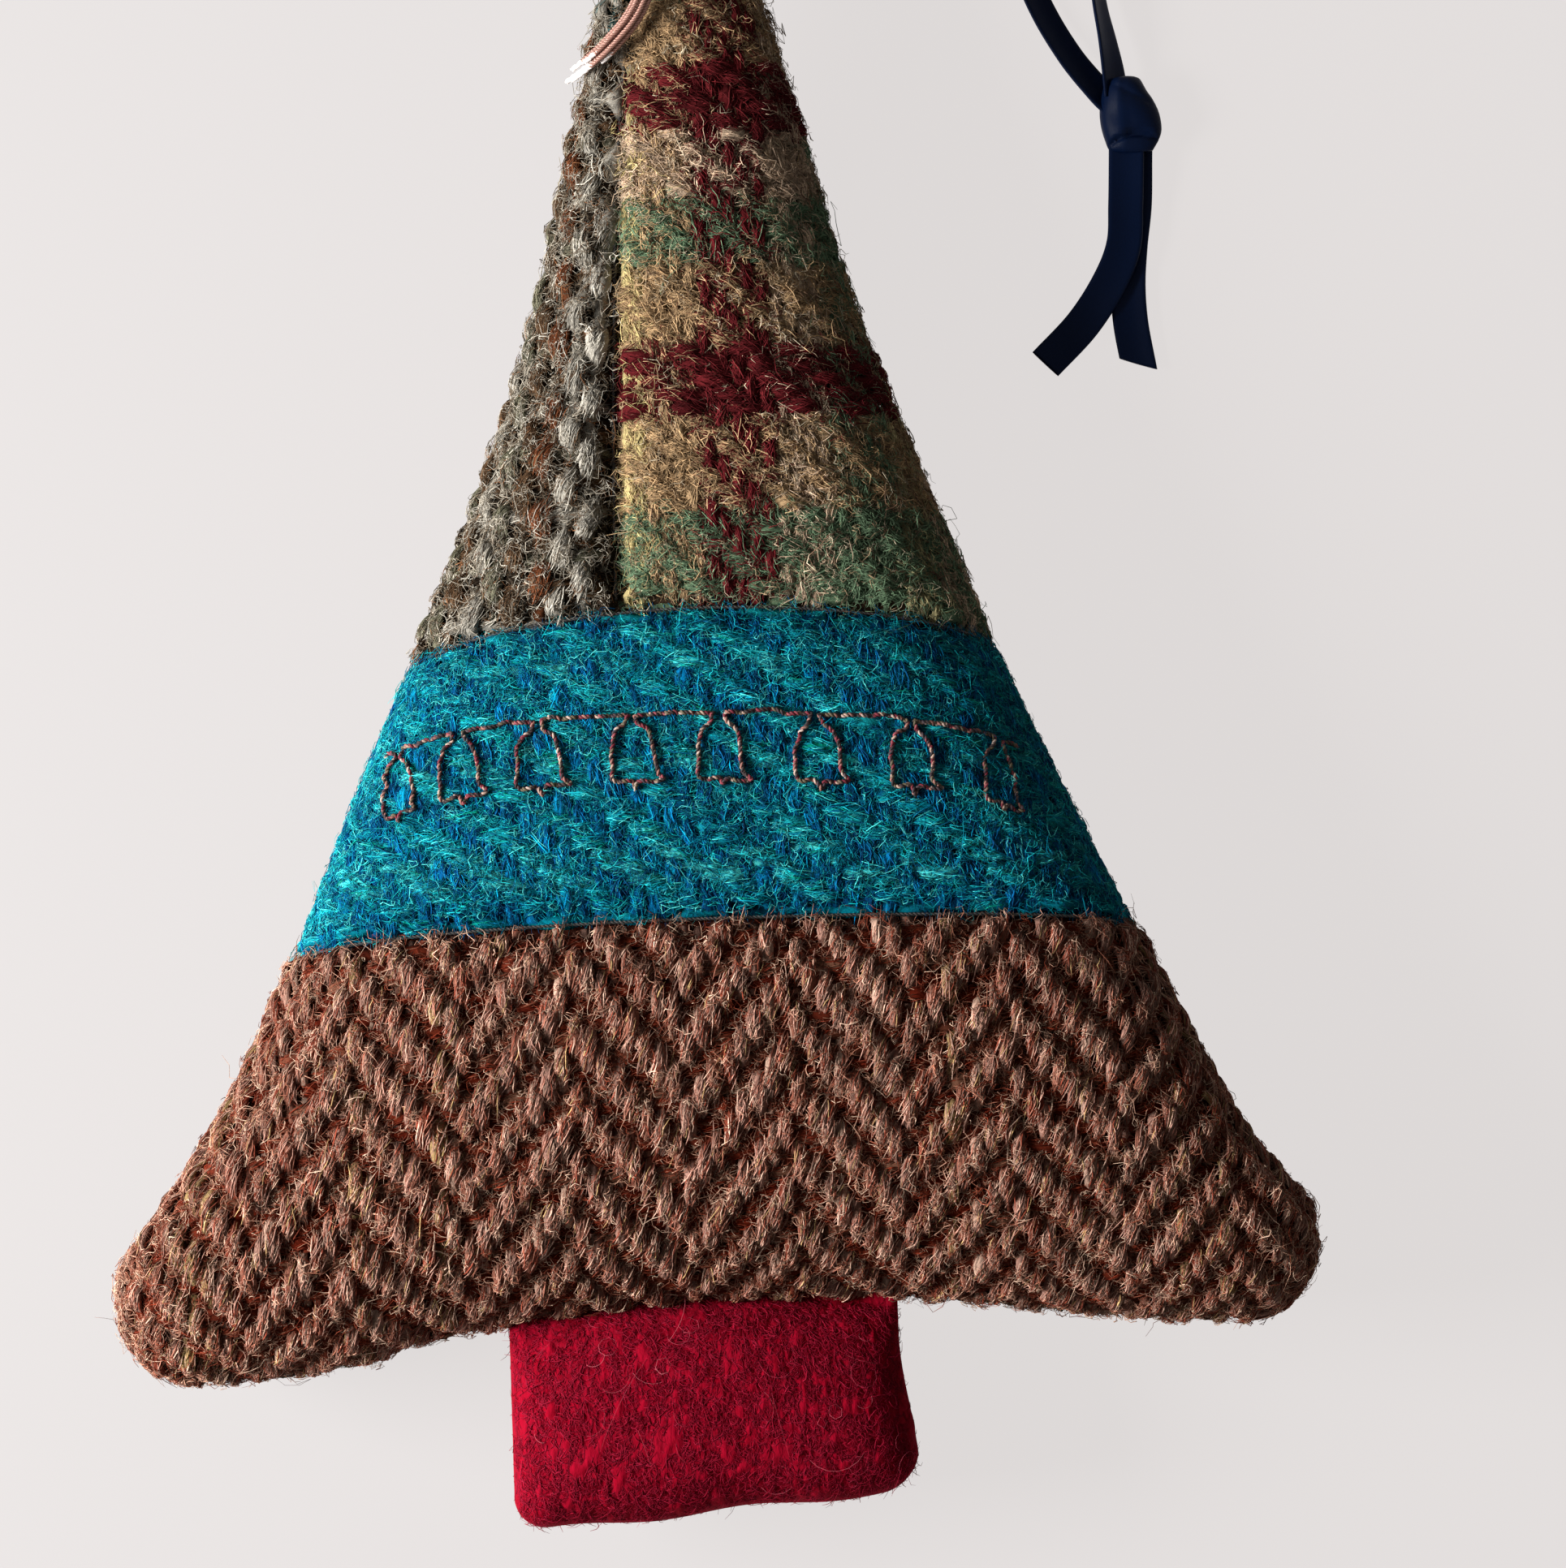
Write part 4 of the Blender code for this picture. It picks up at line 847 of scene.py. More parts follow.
def yarnLevel(cloth, warp, lift):
    rise = cloth["warpRise"] if warp else cloth["weftRise"]
    return cloth["level"] + (cloth["warpLevel"] if warp else cloth["weftLevel"]) + rise * lift


def edgeTuck(cloth, edge):
    return cloth["tuck"] * (1 - eased(edge / cloth["tuckReach"]))


def weaveYarns(name, cloth, system, material):
    # The cores of all the yarns of one system, warp or weft, as flattened tubes over the stuffed face
    paths = yarnPaths(cloth, system)
    warp, fixed, run = paths["warp"], paths["fixed"], paths["run"]
    rng = np.random.default_rng(cloth["seed"] + 7)
    shape = (len(fixed), len(run))
    moving = run[None] / paths["crossPitch"] + paths["slip"]
    lift = crossing(cloth["weave"], fixed[:, None] + np.zeros(shape), moving, warp)
    place = fixed[:, None] * paths["pitch"] + paths["wander"]
    u, v = (place, run[None] + np.zeros(shape)) if warp else (run[None] + np.zeros(shape), place)
    x, height, toSide, toBottom = onFace(cloth["face"], u, v)
    edge = patchEdge(cloth["patch"], x, height, toSide, toBottom)
    base, normals = facePoints(cloth["face"], x, height)
    level = yarnLevel(cloth, warp, lift) + paths["jump"] - edgeTuck(cloth, edge)
    lines = base + normals * level[..., None]
    sides = np.cross(normals, unit(np.gradient(lines, axis=1)))
    up = np.clip(lift, -1, 1) * 0.5 + 0.5
    width = cloth[system + "Width"] * (0.78 + 0.22 * up) * paths["slub"] * 0.88
    depth = cloth[system + "Depth"] * paths["slub"] * 0.88
    keep = edge > 0.1
    angles = (0, 42, 90, 138, 180, 270)
    points, quads, place, rows, steps = tubes(lines, sides, width, depth, keep, angles, 1.6)
    points = points + rng.normal(0, 0.025, points.shape)
    colours = yarnColours(cloth, paths, system, rows, steps, rng.random(len(fixed))[rows])
    colours[:, :3] *= cloth["core"]
    return addPiece(name, placed(points), quads, material, {"yarnPlace": place, "yarnColour": colours})


def chosenShades(choices, chance):
    # One of the shades for each chance, by their shares
    shades, shares = zip(*choices)
    bounds = np.cumsum(shares) / sum(shares)
    return np.array(shades)[np.minimum(np.searchsorted(bounds, chance), len(shades) - 1)]


def yarnColours(cloth, paths, system, rows, steps, chance):
    # Colour of each point: the dye of its yarn, or one of the cloth's own shades of wool
    shade = paths["shade"][rows, steps]
    if "dye" in cloth:
        names = [cloth["dye"](system, place) for place in paths["fixed"] * paths["pitch"]]
        tones = np.array([cloth["dyes"][name] for name in names])[rows]
    else:
        tones = chosenShades(cloth[system + "Wool"], chance)
    tones = tones * (1 + cloth["heather"] * shade)[:, None]
    return np.column_stack([np.clip(tones, 0.0005, 1), np.ones(len(rows))])


def mostHairs(steps):
    # As many three-sided hairs as keep one piece under 200,000 triangles
    return 199000 // (6 * steps - 4)


def yarnSurface(cloth, u, v):
    # How high the woven yarns stand at places on the flat cut
    end, pick = (u - cloth.get("lean", 0) * (v - 55)) / cloth["warpPitch"], v / cloth["weftPitch"]
    tops = []
    for system, fixed, moving in (("warp", end, pick), ("weft", pick, end)):
        nearest = np.round(fixed)
        lift = crossing(cloth["weave"], nearest, moving, system == "warp")
        dome = np.sqrt(np.maximum(1 - (1.6 * (fixed - nearest)) ** 2, 0))
        tops.append(yarnLevel(cloth, system == "warp", lift) + cloth[system + "Depth"] * dome)
    return np.maximum(*tops)


def yarnFibres(name, cloth, system, style):
    # The fibres that lie along the floats of the yarns, twisted, frayed and of mixed shades
    paths = yarnPaths(cloth, system)
    warp, fixed, run, cross = paths["warp"], paths["fixed"], paths["run"], paths["crossPitch"]
    face, patch, steps = cloth["face"], cloth["patch"], style["steps"]
    rng = np.random.default_rng(style["seed"])
    tries = int(style["density"] * (fixed[-1] - fixed[0]) * paths["pitch"] * (run[-1] - run[0]))
    row = rng.integers(0, len(fixed), tries)
    middle = rng.uniform(run[0], run[-1], tries)
    column = np.clip(((middle - run[0]) / cloth["step"]).astype(int), 0, len(run) - 1)
    lift = crossing(cloth["weave"], fixed[row] + 0.0, middle / cross + paths["slip"][row, column], warp)
    fixedPlace = fixed[row] * paths["pitch"] + paths["wander"][row, column]
    u, v = (fixedPlace, middle) if warp else (middle, fixedPlace)
    near = patchEdge(patch, *onFace(face, u, v)) > 0.35
    chosen = np.flatnonzero((lift > style["above"]) & near)[:mostHairs(steps)]
    row, middle, count = row[chosen], middle[chosen], len(chosen)
    along = np.linspace(-0.5, 0.5, steps)[None]
    length = style["length"] * np.exp(rng.normal(0, 0.3, (count, 1)))
    runs = middle[:, None] + along * length
    column = np.clip(((runs - run[0]) / cloth["step"]).astype(int), 0, len(run) - 1)
    rows = row[:, None] + 0 * column
    wide = cloth[system + "Width"] * paths["slub"][rows, column]
    deep = cloth[system + "Depth"] * paths["slub"][rows, column]
    aside = rng.uniform(-0.95, 0.95, (count, 1)) * wide + style["slant"] * along * length
    aside += rng.normal(0, style["fray"], (count, 1)) * along * length
    aside += rng.normal(0, 0.05, (count, steps))
    lift = crossing(cloth["weave"], fixed[rows] + 0.0, runs / cross + paths["slip"][rows, column], warp)
    held = np.maximum(lift, rng.choice((-1.2, 0.2), (count, 1), p=(1 - style["loose"], style["loose"])))
    over = np.sqrt(np.maximum(1 - (aside / (1.15 * wide)) ** 2, 0)) * deep
    fixedPlace = fixed[rows] * paths["pitch"] + paths["wander"][rows, column] + aside
    u, v = (fixedPlace, runs) if warp else (runs, fixedPlace)
    x, height, toSide, toBottom = onFace(face, u, v)
    edge = patchEdge(patch, x, height, toSide, toBottom)
    base, normals = facePoints(face, x, height)
    stand = np.abs(rng.normal(0, style["stand"], (count, 1))) + rng.normal(0, 0.02, (count, steps))
    level = yarnLevel(cloth, warp, held) + paths["jump"][rows, column] + over + stand - edgeTuck(cloth, edge)
    lines = base + normals * level[..., None]
    sides = np.cross(normals, unit(np.gradient(lines, axis=1)))
    radius = style["radius"] * np.exp(rng.normal(0, 0.25, (count, 1))) * (1.05 - 1.6 * along**2)
    points, quads, _, hair, step = tubes(lines, sides, radius, radius, None, (0, 120, 240))
    shade = np.clip(rng.normal(1, style["contrast"], count), 0.3, 2.2)
    colours = yarnColours(cloth, paths, system, row[hair], column[hair, step], rng.random(count)[hair])
    if "blend" in cloth:
        crossed = [cloth["dye"]("weft" if warp else "warp", place) for place in middle]
        other = np.array([cloth["dyes"][name] for name in crossed])
        chance = cloth["blend"] * np.array([cloth["takes"].get(name, 1) for name in crossed])
        mixed = rng.random(count) < chance
        colours[:, :3] = np.where(mixed[hair][:, None], other[hair], colours[:, :3])
    colours[:, :3] = np.clip(colours[:, :3] * shade[hair][:, None], 0.0005, 1)
    return addPiece(name, placed(points), quads, woolFibres, {"yarnColour": colours})


def closedSheet(sheets, turned=False):
    # Points and faces of two sheets, an outer and an inner one, that are joined at their rims
    rows, columns = sheets[0].shape[:2]
    size = rows * columns
    number = np.arange(size).reshape(rows, columns)
    corners = [number[:-1, :-1], number[:-1, 1:], number[1:, 1:], number[1:, :-1]]
    quads = np.stack(corners, axis=-1).reshape(-1, 4)
    loop = np.concatenate([number[0, :-1], number[:-1, -1], number[-1, :0:-1], number[:0:-1, 0]])
    rim = np.stack([np.roll(loop, -1), loop, loop + size, np.roll(loop, -1) + size], axis=-1)
    quads = np.concatenate([quads, quads[:, ::-1] + size, rim])
    return np.concatenate([sheet.reshape(-1, 3) for sheet in sheets]), quads[:, ::-1] if turned else quads


def clothGround(cloth, material):
    # The felted ground below the yarns, as a closed sheet that dips into the seams. Its near-black colour is
    # painted shade, seen in the gaps between the yarns.
    face, depths = cloth["face"], cloth["groundDepths"]
    v = np.linspace(0, 1, 110)
    q = (1 - np.cos(np.linspace(0, math.pi, 80))) / 2
    x, height = patchGrid(cloth["patch"], v, q)
    outer, normals = facePoints(face, x, height)
    edge = patchEdge(cloth["patch"], x, height, sideHalf(height) - np.abs(x), height - bottomHeight(x))
    dip = edgeTuck(cloth, edge)[..., None] * 0.8
    sheets = [outer - normals * (depth + dip) for depth in depths]
    sign = face["side"]
    for sheet in sheets:
        sheet[..., 2] = sign * np.maximum(sheet[..., 2] * sign, tree["seamGap"] * 0.4)
    points, quads = closedSheet(sheets, sign < 0)
    return addPiece(cloth["name"] + "_ground", placed(points), quads, material, {"yarnPlace": points})


def patchGrid(patch, v, q):
    # Grid of places over a patch: rows upwards, columns from its left edge to its right one
    top = tree["height"] - 0.25
    columns = q[None]
    rows = v[:, None]
    if patch in ("strip", "plaid"):
        low = seamHeight("upper", stripSeam(60.0))
        rows = rows**0.8
        height = low + (top - low) * rows + 0 * columns
        for _ in range(3):
            left = -sideHalf(height) if patch == "strip" else stripSeam(height)
            right = stripSeam(height) if patch == "strip" else sideHalf(height)
            x = left * (1 - columns) + right * columns
            foot = seamHeight("upper", x)
            height = foot + (top - foot) * rows
        return x, height
    low = "lower" if patch == "teal" else None
    high = {"brown": "lower", "teal": "upper", "back": None}[patch]
    rows = rows if low else rows**1.6
    height = 20.0 + 0 * rows + 0 * columns
    for _ in range(30):
        x = sideHalf(height) * (2 * columns - 1)
        foot = seamHeight(low, x) if low else bottomHeight(x)
        head = seamHeight(high, x) if high else top + 0 * x
        height = 0.5 * height + 0.5 * (foot + (head - foot) * rows)
    return x, height


# Loose fibres

def walked(turn, length):
    # Places along hairs that turn as they run over the cloth from their roots
    step = length[:, None] / (turn.shape[1] - 1)
    return np.cumsum(np.cos(turn) * step, axis=1), np.cumsum(np.sin(turn) * step, axis=1)


def laidFlat(base, normals, du, dv):
    acrossWay = unit(np.cross((0, 1, 0), normals))
    upWay = np.cross(normals, acrossWay)
    return base[:, None] + du[..., None] * acrossWay[:, None] + dv[..., None] * upWay[:, None]


def hairTubes(lines, normals, radius):
    sides = np.cross(normals[:, None] + 0 * lines, unit(np.gradient(lines, axis=1)))
    points, quads, _, rows, _ = tubes(lines, sides, radius, radius, None, (0, 120, 240))
    return points, quads, rows


def fuzz(name, cloth, style, count):
    # Curled loose fibres that lie over the yarns and stand off them
    rng = np.random.default_rng(style["seed"])
    steps, face = style["steps"], cloth["face"]
    count = min(count, mostHairs(steps))
    tries = count * 5
    u = rng.uniform(*cloth.get("looseAcross", cloth["across"]), tries)
    v = rng.uniform(*cloth["up"], tries)
    edge = patchEdge(cloth["patch"], *onFace(face, u, v))
    inside = edge > 0.25
    u, v, edge = u[inside][:count], v[inside][:count], edge[inside][:count]
    count = len(u)
    length = style["length"] * np.exp(rng.normal(0, style["spread"], count))
    length = np.minimum(length, style["length"] * 3)
    heading = rng.uniform(0, 2 * math.pi, count)
    if "grain" in style:
        mean, share = style["grain"]
        heading = np.where(rng.random(count) < share, mean + rng.normal(0, 0.35, count), heading)
    curl = rng.normal(0, style["curl"], count)
    wobble = smoothNoise(rng, count, steps, 3) * style["curl"]
    along = np.linspace(0, 1, steps)
    turn = heading[:, None] + (curl[:, None] + wobble) * along * length[:, None]
    du, dv = walked(turn, length)
    lift = np.abs(rng.normal(0, 1, count)) * style["lift"]
    arch = rng.uniform(0, 1, count)[:, None]
    bow = arch * np.sin(math.pi * along) + (1 - arch) * along**1.5
    level = style["level"] + lift[:, None] * bow + rng.normal(0, 0.03, (count, steps))
    level += yarnSurface(cloth, u[:, None] + du, v[:, None] + dv) - edgeTuck(cloth, edge)[:, None]
    rootX, rootHeight, _, _ = onFace(face, u, v)
    base, normals = facePoints(face, rootX, rootHeight)
    flat = laidFlat(base, normals, du, dv)
    flat -= normals[:, None] * ((du**2 + dv**2) * 0.02)[..., None]
    lines = flat + normals[:, None] * level[..., None]
    radius = style["radius"] * np.exp(rng.normal(0, 0.2, count))[:, None] * (1 - 0.6 * along**3)
    points, quads, rows = hairTubes(lines, normals, radius)
    own = chosenShades(style["shades"], rng.random(count))
    if style.get("dyed"):
        chances = rng.random(count)
        pairs = [("warp", u[k]) if chance < 0.35 else ("weft", v[k]) for k, chance in enumerate(chances)]
        dyes = np.array([cloth["dyes"][cloth["dye"](*pair)] for pair in pairs])
        own = np.where((rng.random(count) < style["dyed"])[:, None], dyes, own)
    own = np.clip(own * np.exp(rng.normal(0, 0.25, (count, 1))), 0.001, 1)
    colours = np.column_stack([own, np.ones(count)])[rows]
    return addPiece(name, placed(points), quads, woolFibres, {"yarnColour": colours})


def weaveCloth(cloth, fibres, loose):
    # One cloth of the tree: its yarns, the fibres on them, the ground below them in near-black painted shade,
    # and the loose fibres on top
    name = cloth["name"]
    core = dyedYarnMaterial(cloth["wool"] + "_yarn_core")
    # The ground's colours are near black: painted shade for the gaps between the yarns
    base = yarnMaterial(cloth["wool"] + "_shaded_ground_wool", *cloth["groundShadeWool"])
    pieces = [weaveYarns(f"{name}_{system}", cloth, system, core) for system in ("warp", "weft")]
    for title, (system, style) in fibres.items():
        pieces.append(yarnFibres(f"{name}_{title}", cloth, system, style))
    ground = clothGround(cloth, base)
    for title, (count, style) in loose.items():
        pieces.append(fuzz(f"{name}_{title}", cloth, style, count))
    for piece in pieces:
        attach(piece, "tree")
    attach(ground, "tree", cloth["node"])
    print(name, "woven")


# Brown herringbone band

brownCloth = {
    "name": "herringbone",
    "wool": "brown",
    "slot": "brown_tweed",
    "node": "front_herringbone_band",
    "face": front,
    "patch": "brown",
    # Near-black ground: painted shade in the gaps between the yarns
    "groundShadeWool": ((0.022, 0.004, 0.002), (0.06, 0.014, 0.008)),
    "groundDepths": (1.05, 1.5),
    "seed": 11,
    "warpPitch": 1.131,
    "weftPitch": 1.40,
    "across": (-58, 58),
    "up": (-9, 44),
    "step": 0.3,
    "wander": 0.09,
    "slub": 0.16,
    "uneven": 0.08,
    "slip": 0.14,
    "heather": 0.14,
    "weave": herringbone(-18, 8, 2),
    "level": -0.80,
    "core": 0.75,
    "warpLevel": 0.14,
    "weftLevel": -0.20,
    "warpRise": 0.38,
    "weftRise": 0.18,
    "warpWidth": 0.60,
    "weftWidth": 0.66,
    "warpDepth": 0.30,
    "weftDepth": 0.26,
    "tuck": 0.7,
    "tuckReach": 1.1,
    "warpWool": (((0.335, 0.176, 0.132), 4), ((0.25, 0.095, 0.062), 3), ((0.48, 0.30, 0.22), 1.8),
                 ((0.19, 0.04, 0.022), 1.8), ((0.36, 0.23, 0.10), 0.7)),
    "weftWool": (((0.15, 0.022, 0.009), 4), ((0.155, 0.045, 0.024), 2.2), ((0.20, 0.085, 0.05), 1.0),
                 ((0.10, 0.010, 0.003), 2.6), ((0.18, 0.03, 0.014), 0.3)),
}

warpStyle = {
    "density": 4.4, "above": -0.15, "steps": 4, "length": 1.5, "slant": 0.34, "fray": 0.22, "loose": 0.16,
    "stand": 0.04, "radius": 0.040, "contrast": 0.30,
}
weftStyle = {**warpStyle, "density": 3.0, "above": 0.2, "slant": 0.2, "loose": 0.05, "stand": 0.02}
brownFuzz = {
    "seed": 21, "steps": 9, "length": 3.2, "spread": 0.5, "curl": 1.6, "lift": 0.20, "level": 0.03,
    "radius": 0.030,
    "shades": (((0.42, 0.23, 0.155), 3), ((0.56, 0.38, 0.27), 1.4), ((0.27, 0.10, 0.06), 2.4),
               ((0.16, 0.03, 0.014), 2.2)),
}
felted = {"steps": 4, "length": 1.3, "curl": 2.2, "lift": 0.05, "level": 0.0, "radius": 0.027}

weaveCloth(brownCloth, {
    "warp_fibres_1": ("warp", {**warpStyle, "seed": 12}),
    "warp_fibres_2": ("warp", {**warpStyle, "seed": 13}),
    "weft_fibres": ("weft", {**weftStyle, "seed": 14}),
}, {
    "fuzz": (3900, brownFuzz),
    "curls": (3900, {**brownFuzz, "seed": 23, "curl": 2.4, "length": 2.6}),
    "felting": (9900, {**brownFuzz, **felted, "seed": 22}),
})


# Teal band

tealCloth = {
    "name": "teal",
    "wool": "teal",
    "slot": "teal_tweed",
    "node": "front_teal_band",
    "face": front,
    "patch": "teal",
    # Near-black ground: painted shade in the gaps between the yarns
    "groundShadeWool": ((0.0, 0.012, 0.03), (0.0, 0.035, 0.06)),
    "groundDepths": (1.05, 1.5),
    "seed": 31,
    "warpPitch": 1.46,
    "weftPitch": 1.04,
    "across": (-42, 42),
    "up": (30, 72),
    "step": 0.3,
    "wander": 0.10,
    "slub": 0.16,
    "uneven": 0.07,
    "slip": 0.16,
    "heather": 0.16,
    "weave": twill(-1),
    "level": -0.85,
    "core": 0.8,
    "warpLevel": -0.02,
    "weftLevel": 0.04,
    "warpRise": 0.11,
    "weftRise": 0.15,
    "warpWidth": 0.76,
    "weftWidth": 0.58,
    "warpDepth": 0.26,
    "weftDepth": 0.24,
    "tuck": 0.7,
    "tuckReach": 1.1,
    "warpWool": (((0.0, 0.08, 0.22), 4), ((0.0, 0.16, 0.36), 2.4), ((0.0, 0.26, 0.44), 1.2),
                 ((0.0, 0.035, 0.10), 2)),
    "weftWool": (((0.0, 0.20, 0.27), 3), ((0.008, 0.36, 0.40), 3), ((0.07, 0.62, 0.60), 1.4),
                 ((0.0, 0.09, 0.18), 2), ((0.0, 0.27, 0.18), 0.8)),
}

tealStyle = {
    **warpStyle, "density": 6.5, "above": -0.2, "steps": 5, "length": 1.8, "slant": -0.12, "fray": 0.3,
    "loose": 0.3, "radius": 0.034, "contrast": 0.24,
}
tealFuzz = {
    "seed": 41, "steps": 9, "length": 3.0, "spread": 0.5, "curl": 1.8, "lift": 0.20, "level": 0.03,
    "radius": 0.027,
    "grain": (math.pi / 2, 0.35),
    "shades": (((0.0, 0.16, 0.24), 3), ((0.01, 0.36, 0.38), 3), ((0.07, 0.50, 0.48), 1.4),
               ((0.0, 0.06, 0.14), 1.8)),
}
tealFelt = (((0.0, 0.09, 0.20), 3), ((0.0, 0.17, 0.24), 3), ((0.0, 0.30, 0.31), 2), ((0.0, 0.04, 0.12), 2.4))

weaveCloth(tealCloth, {
    "weft_fibres": ("weft", {**tealStyle, "seed": 32}),
    "warp_fibres": ("warp", {**tealStyle, "seed": 33, "density": 5.0}),
}, {
    "fuzz": (3300, tealFuzz),
    "felting_1": (9900, {**tealFuzz, **felted, "seed": 42, "shades": tealFelt}),
    "felting_2": (6000, {**tealFuzz, **felted, "seed": 43, "level": 0.05}),
})


# Checked patch

checkColours = {
    "tan": (0.42, 0.275, 0.145),
    "beige": (0.58, 0.42, 0.29),
    "yellow": (0.48, 0.38, 0.17),
    "maroon": (0.105, 0.010, 0.012),
    "green": (0.13, 0.20, 0.115),
    "olive": (0.38, 0.33, 0.17),
}

# Where each stripe of the check starts, across the tree and up it
checkWarp = ((-12, "yellow"), (-4.2, "tan"), (0.2, "maroon"), (6.4, "beige"), (11.0, "green"),
             (17.0, "olive"), (21.0, "beige"))
checkWeft = ((50, "green"), (70.0, "tan"), (77.6, "maroon"), (84.2, "tan"), (90.8, "green"), (96.5, "beige"),
             (102.2, "maroon"), (107.8, "tan"), (115.0, "green"), (120.0, "beige"), (126.0, "maroon"),
             (132.0, "tan"))


def stripeAt(stripes, place):
    return [name for start, name in stripes if place >= start or start == stripes[0][0]][-1]


def checkDye(system, place):
    return stripeAt(checkWarp if system == "warp" else checkWeft, place)


# Bold yarns stand out of the cloth. Blended fibres take the dye of the yarn that they cross.
checkCloth = {
    **tealCloth,
    "name": "checked",
    "wool": "checked",
    "slot": "tan_plaid_tweed",
    "node": "front_plaid_patch",
    "patch": "plaid",
    # Near-black ground: painted shade in the gaps between the yarns
    "groundShadeWool": ((0.015, 0.008, 0.004), (0.05, 0.03, 0.018)),
    "seed": 51,
    "warpPitch": 1.17,
    "weftPitch": 1.17,
    "across": (-10, 32),
    "up": (55, 142),
    "blend": 0.16,
    "takes": {"maroon": 2.6},
    "warpLevel": -0.10,
    "weftLevel": 0.06,
    "warpRise": 0.18,
    "weftRise": 0.18,
    "warpWidth": 0.56,
    "weftWidth": 0.64,
    "tuck": 1.0,
    "tuckReach": 1.2,
    "dye": checkDye,
    "dyes": checkColours,
    "bold": {"maroon": 0.22},
}

checkStyle = {
    **tealStyle, "density": 9.0, "length": 1.6, "slant": -0.2, "fray": 0.5, "loose": 0.4, "radius": 0.032,
    "contrast": 0.30,
}
checkFuzz = {
    **tealFuzz, "seed": 61, "grain": (0, 0.1), "curl": 2.4, "radius": 0.032, "dyed": 0.65,
    "shades": (((0.34, 0.24, 0.14), 3), ((0.48, 0.40, 0.28), 2), ((0.14, 0.08, 0.05), 2)),
}

weaveCloth(checkCloth, {
    "weft_fibres": ("weft", {**checkStyle, "seed": 52}),
    "warp_fibres": ("warp", {**checkStyle, "seed": 53, "density": 6.0}),
}, {
    "fuzz": (3900, checkFuzz),
    "felting": (9900, {**checkFuzz, **felted, "seed": 62, "dyed": 0.85}),
})


# Grey strip

stripColours = {
    "light": (0.405, 0.37, 0.31),
    "grey": (0.16, 0.15, 0.10),
    "rust": (0.17, 0.055, 0.022),
    "brown": (0.10, 0.055, 0.028),
    "dark": (0.022, 0.014, 0.008),
    "blue": (0.045, 0.11, 0.11),
}
# The first end, dark, lies beside the strip seam and is painted shadow of the seam's groove. The other dark
# ends are dark yarns.
stripWarp = ("dark", "light", "light", "rust", "brown", "grey", "light", "brown", "grey", "dark", "grey",
             "brown")
stripWeft = ("dark", "brown", "dark", "grey", "brown", "dark", "light")


def stripDye(system, place):
    if system == "warp":
        # Every end from -8 mm to the strip seam takes the first dye, dark: painted shadow of the seam's
        # groove
        end = int(round((-8.0 - place) / stripCloth["warpPitch"]))
        return stripWarp[max(end, 0) % len(stripWarp)]
    if place > 112:
        return "blue"
    return stripWeft[int(round(place / stripCloth["weftPitch"])) % len(stripWeft)]


stripCloth = {
    **checkCloth,
    "name": "strip",
    "wool": "strip",
    "slot": "grey_tweed",
    "node": "front_strip_patch",
    "patch": "strip",
    # Near-black ground: painted shade in the gaps between the yarns
    "groundShadeWool": ((0.010, 0.007, 0.004), (0.035, 0.025, 0.016)),
    "looseAcross": (-32, 2),
    "seed": 71,
    "warpPitch": 2.0,
    "weftPitch": 1.275,
    "across": (-34, 2),
    "weave": hopsack,
    "wander": 0.12,
    "slip": 0.25,
    "warpLevel": 0.08,
    "weftLevel": -0.05,
    "warpRise": 0.34,
    "weftRise": 0.16,
    "warpWidth": 0.88,
    "weftWidth": 0.60,
    "warpDepth": 0.36,
    "tuck": 0.9,
    "tuckReach": 0.8,
    "dye": stripDye,
    "dyes": stripColours,
    "bold": {"light": 0.05},
    "lean": 0.077,
    "blend": 0.12,
}

stripStyle = {**tealStyle, "density": 7.0, "length": 1.7, "slant": 0.3, "contrast": 0.34, "fray": 0.25}
stripFuzz = {
    **checkFuzz, "seed": 81, "dyed": 0.0,
    "shades": (((0.32, 0.28, 0.22), 3), ((0.52, 0.48, 0.40), 0.8), ((0.12, 0.09, 0.06), 3),
               ((0.16, 0.07, 0.03), 0.7)),
}

weaveCloth(stripCloth, {
    "warp_fibres": ("warp", {**stripStyle, "seed": 72}),
    "weft_fibres": ("weft", {**stripStyle, "seed": 73}),
}, {
    "fuzz": (1500, stripFuzz),
    "felting": (4000, {**stripFuzz, **felted, "seed": 82}),
})


# Back of the tree

backCloth = {
    **tealCloth,
    "name": "back",
    "wool": "olive",
    "slot": "olive_tweed",
    "node": "back_panel",
    "face": back,
    "patch": "back",
    # Near-black ground: painted shade in the gaps between the yarns
    "groundShadeWool": ((0.012, 0.010, 0.006), (0.04, 0.03, 0.018)),
    "groundDepths": (0.95, 1.4),
    "seed": 91,
    "warpPitch": 1.5,
    "weftPitch": 1.4,
    "across": (-58, 58),
    "up": (-9, 142),
    "step": 0.42,
    "weave": twill(1),
    "level": -0.75,
    "warpRise": 0.2,
    "weftRise": 0.18,
    "warpWidth": 0.72,
    "weftWidth": 0.66,
    "warpWool": (((0.13, 0.10, 0.055), 4), ((0.20, 0.16, 0.09), 2), ((0.06, 0.045, 0.025), 2),
                 ((0.30, 0.25, 0.16), 1)),
    "weftWool": (((0.085, 0.055, 0.03), 4), ((0.06, 0.07, 0.04), 2), ((0.03, 0.02, 0.012), 2),
                 ((0.22, 0.15, 0.08), 1)),
}
backStyle = {**warpStyle, "density": 1.25, "length": 2.6, "radius": 0.062, "above": 0.2}
